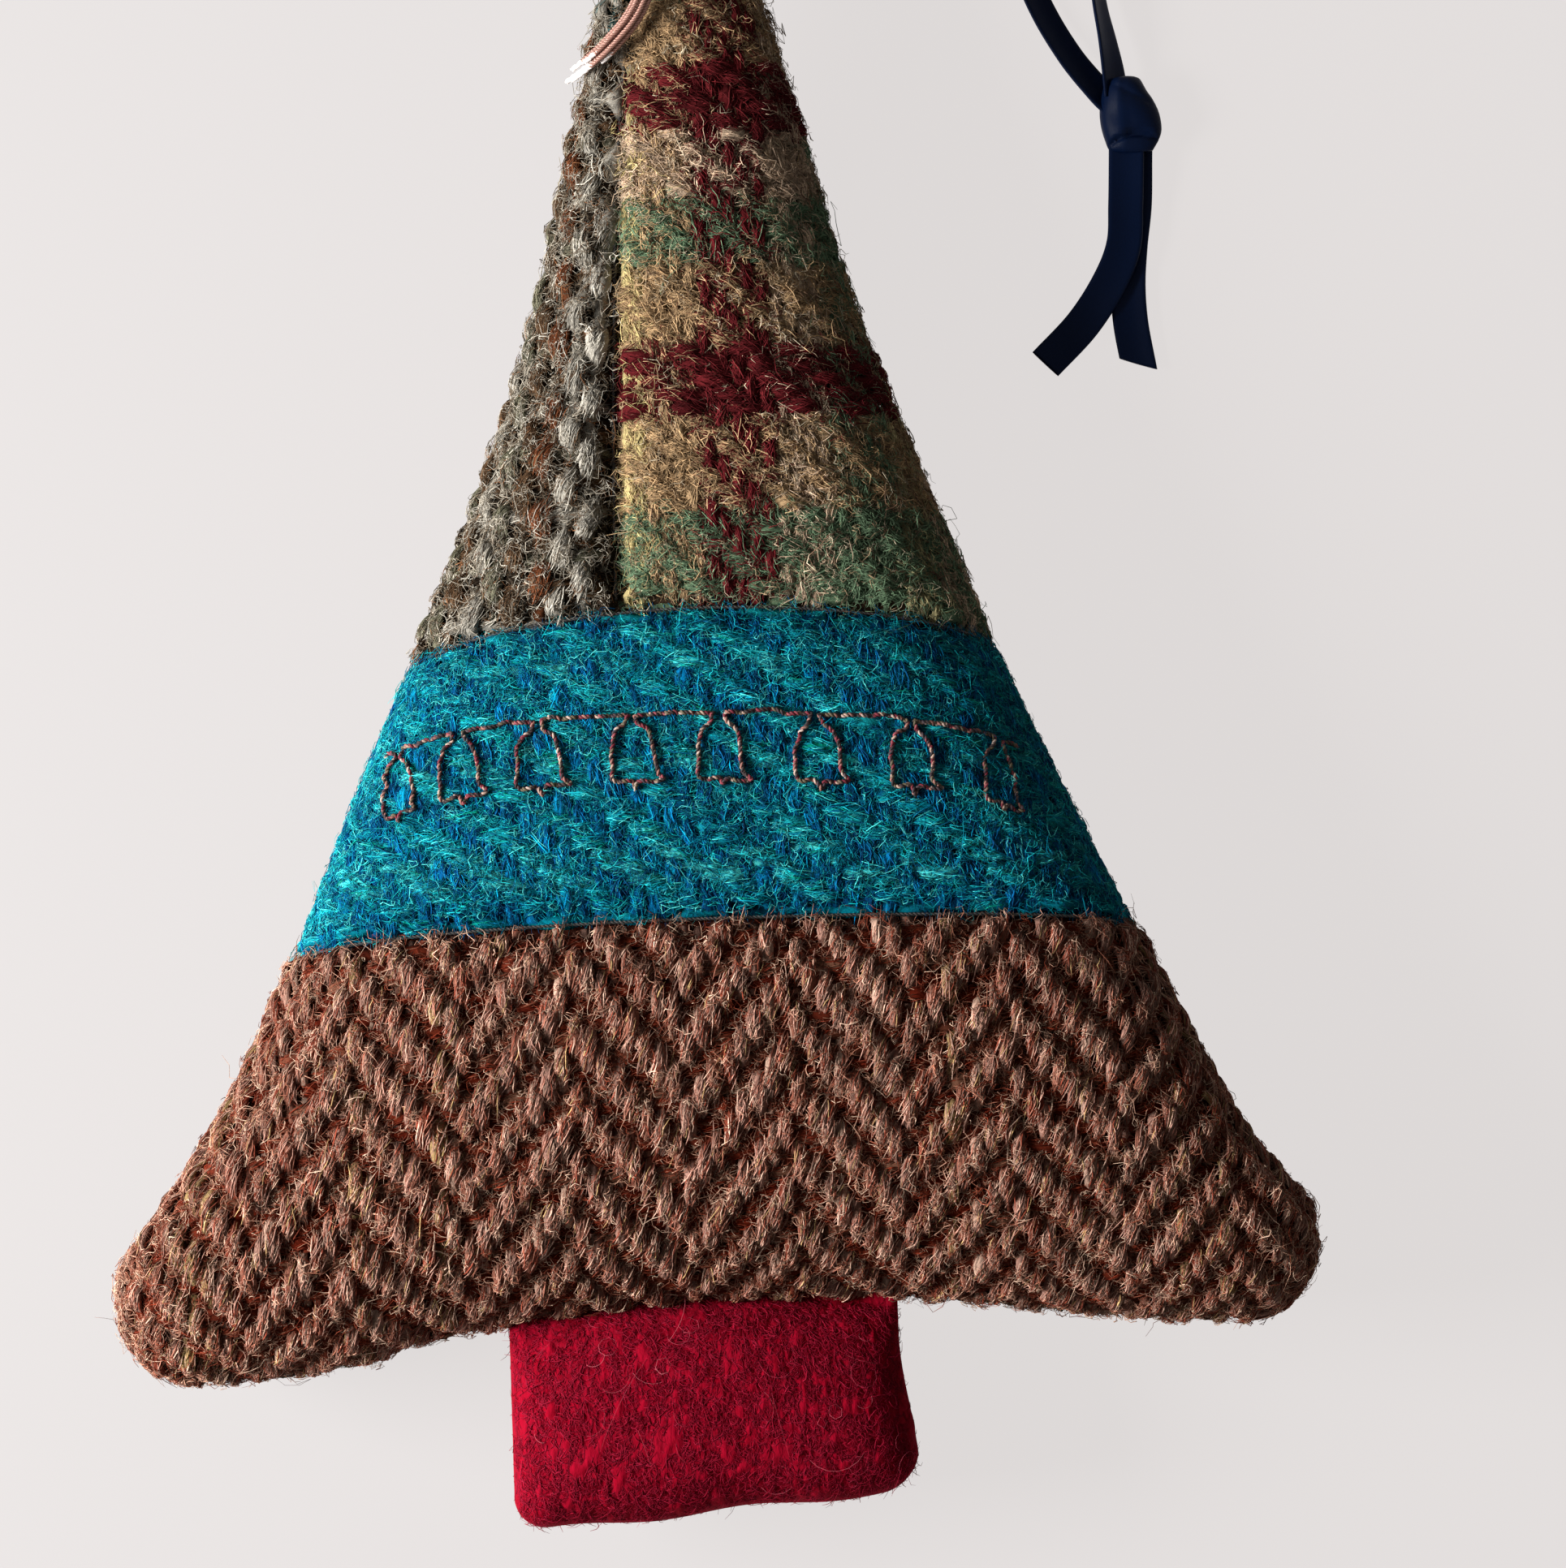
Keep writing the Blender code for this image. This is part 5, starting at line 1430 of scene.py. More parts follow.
backFuzz = {
    **checkFuzz, "seed": 101, "dyed": 0.0, "radius": 0.036, "level": 0.03,
    "shades": (((0.24, 0.19, 0.11), 3), ((0.38, 0.32, 0.22), 1.5), ((0.09, 0.065, 0.035), 3)),
}

weaveCloth(backCloth, {
    "warp_fibres": ("warp", {**backStyle, "seed": 92}),
    "weft_fibres": ("weft", {**backStyle, "seed": 93}),
}, {
    "fuzz": (3900, backFuzz),
})


# Threads and cords as thin tubes

def alongFront(x, height, lift):
    # Points this far off the front cloth, square to it
    points, normals = facePoints(front, x, height)
    return points + normals * np.broadcast_to(lift, np.shape(x))[..., None]


def plied(line, plies, offset, pitch):
    # Centre lines of the plies that twist round one line
    line = np.asarray(line, float)
    lengths = np.linalg.norm(np.diff(line, axis=0), axis=1)
    along = np.concatenate([[0], np.cumsum(lengths)])
    runs = unit(np.gradient(line, axis=0))
    first = unit(np.cross(runs, (0.2, 0.1, 0.97)))
    second = np.cross(runs, first)
    made = []
    for ply in range(plies):
        angle = 2 * math.pi * (along / pitch + ply / plies)
        made.append(line + offset * (np.cos(angle)[:, None] * first + np.sin(angle)[:, None] * second))
    return np.array(made)


def pliedCord(name, line, diameter, material, plies=3, pitch=1.1, step=0.1, sides=6):
    line = np.asarray(line, float)
    length = np.linalg.norm(np.diff(line, axis=0), axis=1).sum()
    even = evenly(line, max(int(length / step), 8))
    spread = 1 / math.sin(math.pi / plies)
    radius = diameter / 2 * spread / (1 + spread)
    lines = plied(even, plies, radius, pitch)
    way = np.cross(unit(np.gradient(lines, axis=1)), (0.2, 0.1, 0.97))
    size = np.full(lines.shape[:2], (diameter / 2 - radius) * 1.15)
    angles = np.linspace(0, 360, sides, endpoint=False)
    points, quads, place, _, _ = tubes(lines, way, size, size, None, angles, 3.0)
    return addPiece(name, points, quads, material, {"yarnPlace": place})


# Garland of bells on the teal band

garland = {
    "height": 47.4,
    "sag": 2.4,
    "lean": 1.4,
    "thread": 0.38,
    "bellWidth": 4.1,
    "bellHeight": 6.0,
    "bellPlaces": (-0.92, -0.73, -0.49, -0.21, 0.05, 0.34, 0.62, 0.89),
    "narrowing": 0.45,
    "end": 0.96,
    "lift": -0.16,
    "stitch": 0.26,
    "faint": 0.22,
    "bell": ((-0.24, 0), (-0.14, -0.05), (-0.18, -0.14), (-0.36, -0.25), (-0.44, -0.44), (-0.43, -0.66),
             (-0.45, -0.86), (-0.30, -0.92), (-0.06, -0.90), (0.03, -1.02), (0.12, -0.90), (0.38, -0.92),
             (0.58, -0.90), (0.44, -0.80), (0.42, -0.60), (0.40, -0.42), (0.33, -0.26), (0.14, -0.14),
             (0.10, -0.05), (0.22, -0.01)),
}


def garlandMaterial():
    # Thread dyed in short lengths of cream, peach, dark red, olive and near black
    shine = {"Specular IOR Level": 0.15}
    material, nodes, shader = principled("variegated_thread", (0.5, 0.3, 0.2), 0.6, **shine)
    place = node(nodes, "ShaderNodeAttribute", attribute_name="yarnPlace").outputs["Vector"]
    parts = node(nodes, "ShaderNodeSeparateXYZ", {0: place})
    length = mathNode(nodes, "FLOOR", mathNode(nodes, "MULTIPLY", parts.outputs[2], 1.9), 0.0)
    dyes = node(nodes, "ShaderNodeTexWhiteNoise", {"W": length}, noise_dimensions="1D")
    ramp = node(nodes, "ShaderNodeValToRGB", {0: dyes.outputs[0]})
    stops = ((0.00, (0.03, 0.02, 0.02)), (0.20, (0.14, 0.02, 0.03)), (0.34, (0.25, 0.11, 0.09)),
             (0.46, (0.33, 0.22, 0.17)), (0.56, (0.10, 0.08, 0.05)), (0.70, (0.045, 0.03, 0.035)),
             (0.84, (0.22, 0.05, 0.06)), (0.93, (0.40, 0.29, 0.24)))
    ramp.color_ramp.interpolation = "CONSTANT"
    while len(ramp.color_ramp.elements) < len(stops):
        ramp.color_ramp.elements.new(0.5)
    for element, (place, colour) in zip(ramp.color_ramp.elements, stops):
        element.position = place
        element.color = (*colour, 1)
    nodes.links.new(ramp.outputs[0], shader.inputs["Base Color"])
    return material


def addGarland():
    half = float(sideHalf(garland["height"]))
    points = [(-garland["end"] * half, 0)]
    for share in garland["bellPlaces"]:
        wide = (1 - garland["narrowing"] * share**4) * garland["bellWidth"]
        tall = garland["bellHeight"]
        points += [(share * half + across * wide, down * tall) for across, down in garland["bell"]]
    points.append((garland["end"] * half, 0))
    route = evenly(curvePoints(np.column_stack([points, np.zeros(len(points))]), 8), 1700)
    rng = np.random.default_rng(140)
    route = route + 0.10 * smoothNoise(rng, 2, len(route), 11).T @ np.array([[1, 0, 0], [0, 1, 0]])
    x = route[:, 0]
    share = x / half
    height = garland["height"] - garland["sag"] * share**4 - garland["lean"] * np.maximum(share, 0)
    height = height + route[:, 1]
    along = np.concatenate([[0], np.linalg.norm(np.diff(route, axis=0), axis=1).cumsum()])
    sunk = garland["stitch"] * np.cos(math.pi * along / 1.3) ** 6
    sunk += garland["faint"] * eased((share - 0.76) / 0.1)
    line = placed(alongFront(x, height, garland["lift"] - sunk))
    return pliedCord("garland_stitching_thread", line, garland["thread"], garlandMaterial(), 2, 0.7, 0.11, 6)


attach(addGarland(), "tree", "garland_stitching")
print("garland stitched")


# Sewing threads

def threadMaterial(name, dark, light):
    material, nodes, shader = principled(name, light, 0.7)
    fibres = groupNode(nodes, fibreGroup, Fineness=2.0)
    nodes.links.new(mixColours(nodes, fibres.outputs["Streaks"], dark, light), shader.inputs["Base Color"])
    addRelief(nodes, shader, fibres.outputs["Height"], 0.4, 0.00005)
    return material


greyThread = threadMaterial("grey_thread", (0.012, 0.012, 0.012), (0.05, 0.045, 0.04))
redThread = threadMaterial("red_thread", (0.08, 0.0, 0.005), (0.25, 0.01, 0.02))
closingThread = threadMaterial("closing_thread", (0.05, 0.035, 0.025), (0.16, 0.12, 0.09))


def seamLine(name):
    edge, arch = seams[name]
    half = float(sideHalf(edge))
    x = np.linspace(1.3 - half, half - 1.3, 260)
    return x, edge + arch * (1 - (x / half) ** 2)


def addThread(name, node, line, material, diameter=0.3, body="tree"):
    piece = pliedCord(name, line, diameter, material, 2, 0.7, 0.14, 5)
    attach(piece, body, node)


def offsetOutline(high, inset, count):
    # Both sides and the bottom edge, this far inside the outline
    heights = np.linspace(high, tree["tipLevel"], count)
    right = np.column_stack([sideHalf(heights) - inset, heights])
    angles = np.linspace(0, math.pi / 2, 24)
    radius = tree["tipRadius"] - inset
    tip = np.column_stack([radius * np.cos(angles), -radius * np.sin(angles)])
    tip = tip + (tree["tipCentreX"], tree["tipLevel"])
    x = np.linspace(tree["tipCentreX"], 0, count // 2)
    bottom = np.column_stack([x, bottomHeight(x) + inset])
    half = np.concatenate([right, tip[1:], bottom[1:]])
    return np.concatenate([half, (half * (-1, 1))[::-1][1:]])


sewing = {"sunk": 1.0, "stripSunk": 1.3, "edgeInset": 1.75, "belowApex": 12.0}


def sewSeams():
    for name in ("upper", "lower"):
        line = placed(alongFront(*seamLine(name), -sewing["sunk"]))
        addThread(name + "_seam_stitches", name + "_seam_thread", line, greyThread)
    height = np.linspace(sum(seams["upper"]) + 0.9, tree["height"] - tree["apexRise"], 260)
    line = placed(alongFront(stripSeam(height), height, -sewing["stripSunk"]))
    addThread("strip_seam_stitches", "strip_seam_thread", line, greyThread)
    edge = offsetOutline(tree["height"] - sewing["belowApex"], sewing["edgeInset"], 160)
    line = placed(np.column_stack([edge, np.zeros(len(edge))]))
    addThread("edge_seam_stitches", "edge_seam_thread", line, greyThread)


sewSeams()

closing = {"from": 0.864, "length": 15.0, "count": 7, "thread": 0.3, "reach": 1.6, "sunk": 0.55}


def addClosing():
    turns = np.linspace(0, 2 * closing["count"], 340)
    x = closing["length"] * turns / turns[-1] - closing["from"] * tree["tipCentreX"]
    level = closing["reach"] * (2 * np.abs(turns - 2 * np.round(turns / 2)) - 1)
    height = bottomHeight(x) + closing["sunk"] + level**2 / tree["bottomFullness"]
    line = placed(np.column_stack([x, height, level]))
    addThread("closing_whip_stitches", "closing_stitches", line, closingThread, closing["thread"], "tree")


addClosing()
print("seams sewn")


# Trunk

trunk = {
    "width": 33.4,
    "length": 17.4,
    "corner": 3.2,
    "fullness": 11.0,
    "endFullness": 14.0,
    "seamClearance": 0.5,
    "seamHeld": 1.3,
    "seamSlope": 1.6,
    "shift": -1.1,
    "taper": 1.3,
    "raise": 1.0,
    "over": 1.5,
    "rows": 150,
    "columns": 220,
    "endPitch": 1.15,
    "pickPitch": 1.0,
}


def trunkTop(x):
    return bottomHeight(x) - trunk["seamClearance"]


def trunkFoot(x):
    corner = np.maximum(np.abs(x) - (trunk["width"] / 2 - trunk["corner"]), 0)
    return trunk["corner"] - trunk["length"] - np.sqrt(np.maximum(trunk["corner"] ** 2 - corner**2, 0))


def trunkSquare(x, height):
    sides = tree["edgeRound"] ** 2 * ((trunk["width"] / 2) ** 2 - x**2)
    seam = trunk["seamHeld"] + trunk["seamSlope"] * np.maximum(trunkTop(x) - height, 0)
    return joinedSwell(sides, trunk["endFullness"] * (height - trunkFoot(x)), seam**2, trunk["fullness"] ** 2)


def trunkPoints(x, height, side):
    step = 0.06
    square = trunkSquare(x, height)
    slopeX = (trunkSquare(x + step, height) - trunkSquare(x - step, height)) / (2 * step)
    slopeY = (trunkSquare(x, height + step) - trunkSquare(x, height - step)) / (2 * step)
    level = np.sqrt(square)
    normals = unit(np.stack([-slopeX / 2, -slopeY / 2, level + 1e-4], axis=-1))
    return np.stack([x, height, (level + tree["seamGap"]) * side], axis=-1), normals * (1, 1, side)


def trunkGrid(rows, columns, over=0.0):
    # Places over the trunk, crowded towards its foot and sides, and up into the seam of the tree
    v = np.linspace(0, 1, rows)[:, None] ** 1.5
    x = -trunk["width"] / 2 * np.cos(np.linspace(0, math.pi, columns))[None] + 0 * v
    foot = trunkFoot(x)
    return x, foot + (trunkTop(x) + over - foot) * v


def trunkPlaced(points):
    # The trunk is sewn on a little to the left and is narrower there. Its wavy foot rises to the right.
    points = placed(points, False)
    across = points[..., 0] * 1.0
    wave = 0.25 * np.sin(across * 0.42 + 0.5) + 0.075 * across + 0.2
    low = eased((-points[..., 1] - tree["centreHeight"] - 4) / 12)
    points[..., 1] += np.clip(wave, -1.1, 1.6) * low + trunk["raise"] * (1 - low)
    points[..., 0] += trunk["shift"] - trunk["taper"] * (1 - low) * eased(across / 12)
    return points


def latticeNoise(rng, x, y, wave):
    # Smooth random values over a plane, about one swing for each wave
    cells = rng.normal(0, 1, (64, 64))
    gx, gy = x / wave + 20.0, y / wave + 20.0
    lowX, lowY = np.floor(gx).astype(int), np.floor(gy).astype(int)
    sx, sy = eased(gx - lowX), eased(gy - lowY)
    a = cells[lowX % 64, lowY % 64] * (1 - sx) + cells[(lowX + 1) % 64, lowY % 64] * sx
    b = cells[lowX % 64, (lowY + 1) % 64] * (1 - sx) + cells[(lowX + 1) % 64, (lowY + 1) % 64] * sx
    return a * (1 - sy) + b * sy


def feltMaterial(name, dark, mid, light):
    # Felted wool: streaks of fibre that run up the cloth, paler flecks and worn patches
    shine = {"Specular IOR Level": wool["shine"]}
    material, nodes, shader = principled(name, mid, wool["roughness"], **shine)
    place = node(nodes, "ShaderNodeTexCoord").outputs["Object"]
    stretched = node(nodes, "ShaderNodeMapping", {"Vector": place, "Scale": (1.0, 0.35, 1.0)}).outputs[0]
    grain = {"Vector": stretched, "Scale": 2600.0, "Detail": 3.0, "Roughness": 0.6}
    streak = node(nodes, "ShaderNodeTexNoise", grain)
    patch = node(nodes, "ShaderNodeTexNoise", {"Vector": place, "Scale": 420.0, "Detail": 3.0})
    fine = node(nodes, "ShaderNodeMapRange", {0: streak.outputs[0], 1: 0.34, 2: 0.68})
    broad = node(nodes, "ShaderNodeMapRange", {0: patch.outputs[0], 1: 0.3, 2: 0.8})
    own = mixColours(nodes, fine.outputs[0], dark, mid)
    share = mathNode(nodes, "MULTIPLY", broad.outputs[0], 0.45)
    nodes.links.new(mixColours(nodes, share, own, light), shader.inputs["Base Color"])
    addRelief(nodes, shader, streak.outputs[0], 0.6, 0.0002)
    return material


crimsonFelt = feltMaterial("crimson_felted_wool", (0.17, 0.0, 0.006), (0.24, 0.0, 0.010),
                           (0.32, 0.004, 0.022))
crimsonBack = feltMaterial("crimson_back_wool", (0.10, 0.0, 0.006), (0.20, 0.004, 0.014), (0.28, 0.015, 0.03))
crimsonHair = hairMaterial("crimson_loose_fibre", (0.16, 0.0, 0.007), (0.36, 0.012, 0.042))
crimsonPale = hairMaterial("crimson_pale_fibre", (0.30, 0.01, 0.04), (0.60, 0.16, 0.18))


def feltWeave(x, height):
    # The twill that still shows faintly through the felting
    end, pick = x / trunk["endPitch"], height / trunk["pickPitch"]
    return crossing(twill(1), np.round(end), pick, True) * np.cos(2 * math.pi * (end - np.round(end)))


def addTrunkPanel(name, side, material, node):
    rng = np.random.default_rng(200 + side)
    x, height = trunkGrid(trunk["rows"], trunk["columns"], trunk["over"])
    outer, normals = trunkPoints(x, height, side)
    relief = 0.07 * latticeNoise(rng, x, height, 1.1) + 0.04 * latticeNoise(rng, x, height, 0.45)
    relief += 0.04 * feltWeave(x, height)
    level = np.abs(outer[..., 2])
    relief = relief * eased(level / 3.0)
    sheets = [outer + normals * (relief - 0.12)[..., None], outer - normals * 1.3]
    for sheet in sheets:
        sheet[..., 2] = side * np.maximum(sheet[..., 2] * side, 0.05)
    points, quads = closedSheet(sheets, side < 0)
    piece = addPiece(name, trunkPlaced(points), quads, material)
    attach(piece, "trunk", node)


def addTrunkFuzz(name, side, seed, count, material, settings):
    rng = np.random.default_rng(seed)
    half = trunk["width"] / 2
    steps = settings["steps"]
    x = rng.uniform(-half + 0.3, half - 0.3, count)
    foot = trunkFoot(x)
    height = foot + 0.35 + rng.uniform(0, 1, count) * (trunkTop(x) - foot - 0.3)
    length = settings["length"] * np.exp(rng.normal(0, 0.4, count))
    heading = np.where(rng.random(count) < settings["upright"], -math.pi / 2 + rng.normal(0, 0.3, count),
                       rng.uniform(0, 2 * math.pi, count))
    along = np.linspace(0, 1, steps)
    turn = heading[:, None] + rng.normal(0, settings["curl"], (count, 1)) * along * length[:, None]
    du, dv = walked(turn, length)
    base, normals = trunkPoints(x, height, side)
    lift = np.abs(rng.normal(0, 1, (count, 1))) * settings["lift"]
    level = settings["level"] + lift * np.sin(math.pi * along * rng.uniform(0.4, 1, (count, 1)))
    flat = laidFlat(base, normals, du, dv)
    lines = flat + normals[:, None] * (level - 0.03 * (du**2 + dv**2))[..., None]
    radius = settings["radius"] * np.exp(rng.normal(0, 0.2, (count, 1))) * (1 - 0.6 * along**3)
    points, quads, rows = hairTubes(lines, normals, radius)
    tone = np.clip(0.15 + 0.6 * rng.beta(1.6, 3.2, count) + 0.14 * feltWeave(x, height), 0, 1)
    piece = addPiece(name, trunkPlaced(points), quads, material, {"hairTone": tone[rows]})
    attach(piece, "trunk")


feltNap = {
    "steps": 4, "length": 0.9, "upright": 0.6, "curl": 1.6, "lift": 0.05, "level": -0.09, "radius": 0.028,
}
looseNap = {
    "steps": 9, "length": 3.4, "upright": 0.4, "curl": 1.2, "lift": 0.14, "level": 0.0, "radius": 0.016,
}
addTrunkPanel("trunk_felt_front", 1, crimsonFelt, "trunk_front_panel")
addTrunkPanel("trunk_felt_back", -1, crimsonBack, "trunk_back_panel")
addTrunkFuzz("trunk_nap_front", 1, 211, 9900, crimsonHair, feltNap)
addTrunkFuzz("trunk_loose_fibres", 1, 213, 34, crimsonPale, looseNap)
addTrunkFuzz("trunk_nap_back", -1, 212, 6000, crimsonHair, feltNap)


def sewTrunkEdge():
    inset, corner = sewing["edgeInset"], trunk["corner"]
    angles = np.linspace(0, math.pi / 2, 20)
    x = trunk["width"] / 2 - corner + (corner - inset) * np.cos(angles)
    y = corner - trunk["length"] - (corner - inset) * np.sin(angles)
    right = np.concatenate([[(x[0], -3.0)], np.column_stack([x, y])])
    edge = np.concatenate([right, (right * (-1, 1))[::-1]])
    line = trunkPlaced(np.column_stack([edge, np.zeros(len(edge))]))
    addThread("trunk_seam_stitches", "trunk_seam_thread", line, redThread, 0.3, "trunk")


sewTrunkEdge()
print("trunk felted")


# Wadding inside the cloth

def waddingMaterial():
    material, nodes, shader = principled("wadding", (0.8, 0.8, 0.78), 1.0)
    place = node(nodes, "ShaderNodeTexCoord").outputs["Object"]
    clumps = node(nodes, "ShaderNodeTexNoise", {"Vector": place, "Scale": 900.0, "Detail": 5.0})
    own = mixColours(nodes, clumps.outputs[0], (0.68, 0.68, 0.66), (0.88, 0.88, 0.86))
    nodes.links.new(own, shader.inputs["Base Color"])
    addRelief(nodes, shader, clumps.outputs[0], 0.8, 0.0004)
    return material


def addWadding(name, grids, body, node, place):
    # Two lumpy faces joined at their edge
    rng = np.random.default_rng(300)
    sheets = []
    for points, normals in grids:
        lumps = 0.25 * latticeNoise(rng, points[..., 0], points[..., 1], 4.0)
        sheets.append(points + normals * (lumps - 0.2)[..., None])
    points, quads = closedSheet(sheets)
    piece = addPiece(name, place(points), quads, wadding)
    attach(piece, body, node)


wadding = waddingMaterial()
filling = {"inset": 2.6, "belowApex": 12.5, "trunkShare": 0.84, "trunkTop": 2.4}


def stuffTree():
    inset = filling["inset"]
    x, height = patchGrid("back", np.linspace(0, 1, 60), (1 - np.cos(np.linspace(0, math.pi, 50))) / 2)
    x = x * np.clip(1 - inset / np.maximum(sideHalf(height), inset + 1), 0.1, 1)
    height = np.clip(height, bottomHeight(x) + inset, tree["height"] - filling["belowApex"])
    grids = []
    for face in (front, back):
        points, normals = facePoints(face, x, height)
        points[..., 2] = face["side"] * np.maximum(np.abs(points[..., 2]) - inset - 0.6, 0.12)
        grids.append((points, normals * (0, 0, 1)))
    addWadding("tree_wadding", grids, "tree", "body_filling", placed)


def stuffTrunk():
    x, height = trunkGrid(40, 40)
    x = x * filling["trunkShare"]
    height = np.clip(height, filling["inset"] - trunk["length"], trunkTop(x) - filling["trunkTop"])
    grids = []
    for side in (1, -1):
        points, normals = trunkPoints(x, height, side)
        points[..., 2] = side * np.maximum(np.abs(points[..., 2]) - filling["inset"], 0.12)
        grids.append((points, normals * (0, 0, 0)))
    addWadding("trunk_wadding", grids, "trunk", "trunk_filling", trunkPlaced)


stuffTree()
stuffTrunk()
print("wadding stuffed")


# Metallic cord

copper = {
    "strand": 0.45,
    "turns": 3,
    "pitch": 0.95,
    "clearance": 0.3,
    "reach": 9.4,
    "fall": 22.6,
    "lane": 0.56,
    "layer": 0.52,
    "droop": 0.35,
    "route": ((0.02, -0.02), (0.06, 0.12), (0.14, 0.38), (0.24, 0.62), (0.38, 0.78), (0.60, 0.89),
              (0.80, 0.955), (1.00, 1.00)),
    "bare": (0.05, 0.11, 0.04, 0.05, 0.08),
    "strands": ((-1.0, 0.0, 0.94), (0.0, 0.0, 1.00), (1.0, 0.0, 0.80), (-0.5, 1.0, 0.88), (0.5, 1.0, 0.97)),
}


def metalMaterial():
    # Metallic thread: rose-gold foil wound round a core
    material, nodes, shader = principled("rose_gold_cord", (0.45, 0.24, 0.18), 0.45, Metallic=0.4)
    fibres = groupNode(nodes, fibreGroup, Fineness=2.2, Stretch=1.2)
    own = mixColours(nodes, fibres.outputs["Streaks"], (0.20, 0.09, 0.065), (0.52, 0.28, 0.22))
    nodes.links.new(own, shader.inputs["Base Color"])
    rough = node(nodes, "ShaderNodeMapRange", {0: fibres.outputs["Streaks"], 3: 0.5, 4: 0.26})
    nodes.links.new(rough.outputs[0], shader.inputs["Roughness"])
    addRelief(nodes, shader, fibres.outputs["Height"], 0.5, 0.00006)
    return material


roseGold = metalMaterial()
cordCore = threadMaterial("cord_core", (0.62, 0.54, 0.50), (0.90, 0.84, 0.80))


def addCopper():
    strand = copper["strand"]
    wide = ribbon["width"] / 2 + copper["clearance"] + strand / 2
    deep = ribbon["apart"] + 0.2 + copper["clearance"] + strand / 2
    length = copper["turns"] * copper["pitch"]
    start = tree["height"] + (ribbon["neck"] - length) / 2
    angles = np.linspace(0, 2 * math.pi * copper["turns"], 240)
    climb = start + length * angles / angles[-1]
    line = np.column_stack([wide * np.cos(angles), climb, deep * np.sin(angles)])
    binding = pliedCord("copper_binding_turns", placed(line), strand, roseGold, 3, 0.9, 0.09, 6)
    attach(binding, "tree", "copper_cord_binding")
    route = np.array(copper["route"]) * (-copper["reach"], -copper["fall"]) + (0, tree["height"])
    route = curvePoints(route, 10)
    run = unit(np.gradient(route, axis=0))
    beside = np.stack([-run[:, 1], run[:, 0]], axis=1)
    lift = strand / 2 + 0.6
    for number, (lane, layer, kept) in enumerate(copper["strands"], 1):
        plan = route + lane * copper["lane"] * beside
        under = []
        for width in np.linspace(-copper["lane"], copper["lane"], 5):
            x, height = (route + width * beside).T
            under.append(np.sqrt(swellSquare({**front, "dips": False}, x, height)) + ribbonSlot(x, height))
        level = np.max(under, axis=0) + lift + tree["seamGap"] + layer * copper["layer"]
        for index in range(1, len(level)):
            level[index] = max(level[index], level[index - 1] - copper["droop"] / 2)
        line = np.column_stack([plan, level])
        even = evenly(line[:max(2, round(kept * len(line)))], 240)
        bare = round(240 * (1 - copper["bare"][number - 1]))
        tail = pliedCord(f"copper_strand_{number}", placed(even[:bare]), strand, roseGold, 3, 0.8, 0.07, 6)
        inner = placed(even[bare - 4:])
        core = pliedCord(f"copper_core_{number}", inner, strand * 0.92, cordCore, 3, 2.0, 0.09, 6)
        attach(tail, "tree", f"copper_cord_tail_{number}")
        attach(core, "tree")


addCopper()
print("metallic cord laid")


# Stage and lights

stage = {
    "floorColour": (0.775, 0.741, 0.733),
    "floorSize": 6.0,
    "floorGlow": 0.93,
    "keyPower": 3.6,
    "keySize": 0.16,
    "keyDistance": 0.345,
    "keyAzimuth": 186,
    "keyElevation": 28,
    "fill": 0.12,
}


def seenRay(nodes):
    # 1 for rays that show the room, 0 for rays that light the object
    ray = node(nodes, "ShaderNodeLightPath").outputs
    shown = mathNode(nodes, "MAXIMUM", ray["Is Camera Ray"], ray["Is Glossy Ray"])
    return mathNode(nodes, "MAXIMUM", shown, ray["Is Transmission Ray"])


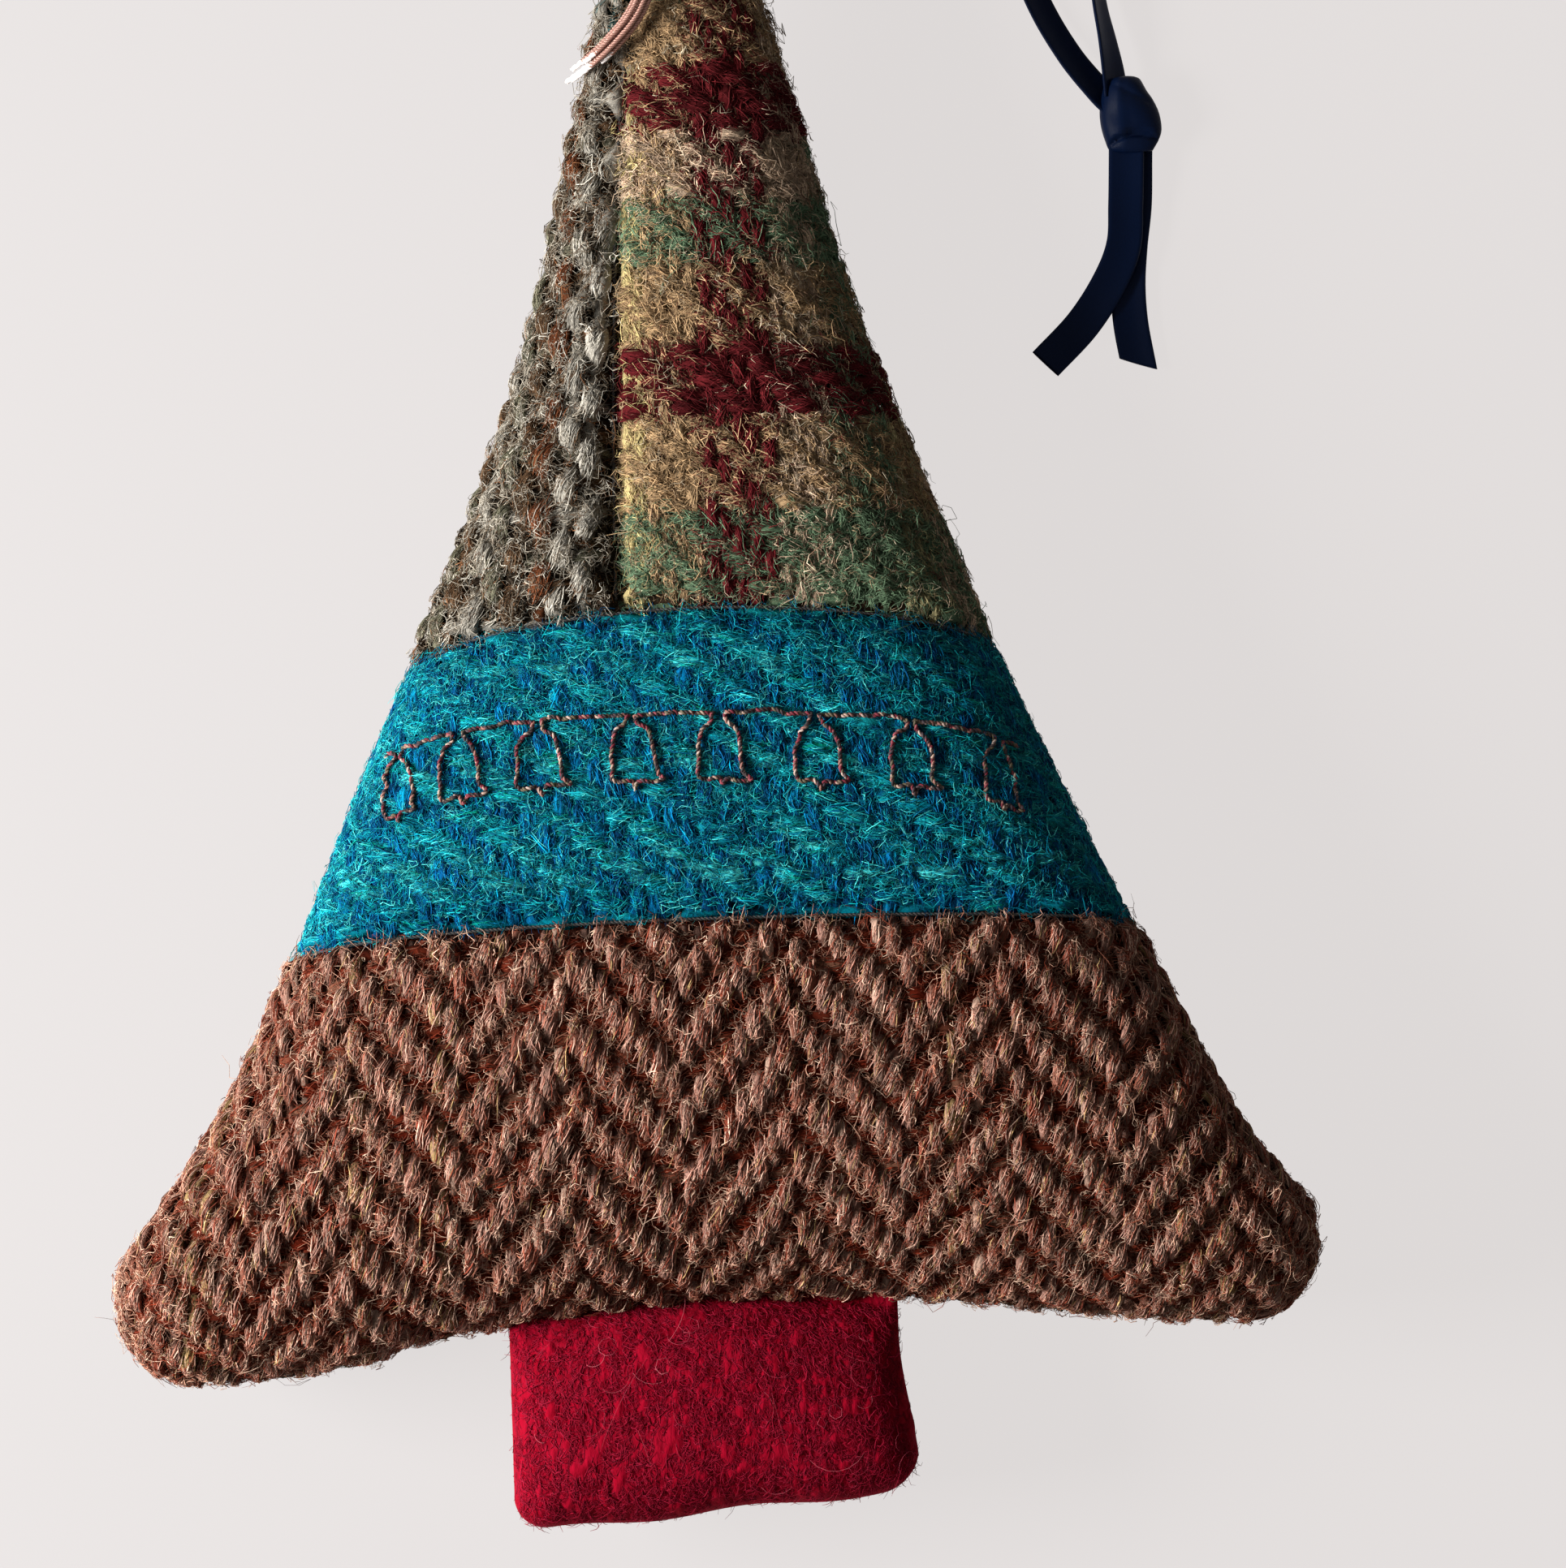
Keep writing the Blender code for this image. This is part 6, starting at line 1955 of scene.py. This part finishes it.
def addFloor():
    # Seen by the camera, the floor is partly its own even colour, so that only soft shadows stay on it
    half = stage["floorSize"] / 2
    mesh = bpy.data.meshes.new("floor")
    corners = [(-half, -half, 0), (half, -half, 0), (half, half, 0), (-half, half, 0)]
    mesh.from_pydata(corners, [], [(0, 1, 2, 3)])
    floor = bpy.data.objects.new("floor", mesh)
    shine = {"Specular IOR Level": 0.0}
    material, nodes, shader = principled("pale_floor", stage["floorColour"], 0.9, **shine)
    glow = node(nodes, "ShaderNodeEmission", {"Color": (*stage["floorColour"], 1), "Strength": 1.0})
    share = mathNode(nodes, "MULTIPLY", seenRay(nodes), stage["floorGlow"])
    mixed = node(nodes, "ShaderNodeMixShader", {0: share, 1: shader.outputs[0], 2: glow.outputs[0]})
    nodes.links.new(mixed.outputs[0], nodes.nodes["Material Output"].inputs["Surface"])
    mesh.materials.append(material)
    scene.collection.objects.link(floor)


def addLight():
    azimuth, elevation = math.radians(stage["keyAzimuth"]), math.radians(stage["keyElevation"])
    level = math.cos(elevation)
    way = Vector((math.cos(azimuth) * level, math.sin(azimuth) * level, math.sin(elevation)))
    data = bpy.data.lights.new("key", "AREA")
    data.energy = stage["keyPower"]
    data.size = stage["keySize"]
    key = bpy.data.objects.new("key", data)
    key.location = way * stage["keyDistance"]
    key.rotation_mode = "QUATERNION"
    key.rotation_quaternion = way.to_track_quat("Z", "Y")
    scene.collection.objects.link(key)
    world = bpy.data.worlds.new("soft room")
    world.use_nodes = True
    nodes = world.node_tree
    nodes.nodes["Background"].inputs["Color"].default_value = (1, 0.99, 0.98, 1)
    nodes.nodes["Background"].inputs["Strength"].default_value = stage["fill"]
    wall = node(nodes, "ShaderNodeBackground", {"Color": (*stage["floorColour"], 1), "Strength": 1.0})
    dim = nodes.nodes["Background"].outputs[0]
    room = node(nodes, "ShaderNodeMixShader", {0: seenRay(nodes), 1: dim, 2: wall.outputs[0]})
    nodes.links.new(room.outputs[0], nodes.nodes["World Output"].inputs["Surface"])
    scene.world = world


addFloor()
addLight()
print("stage set")
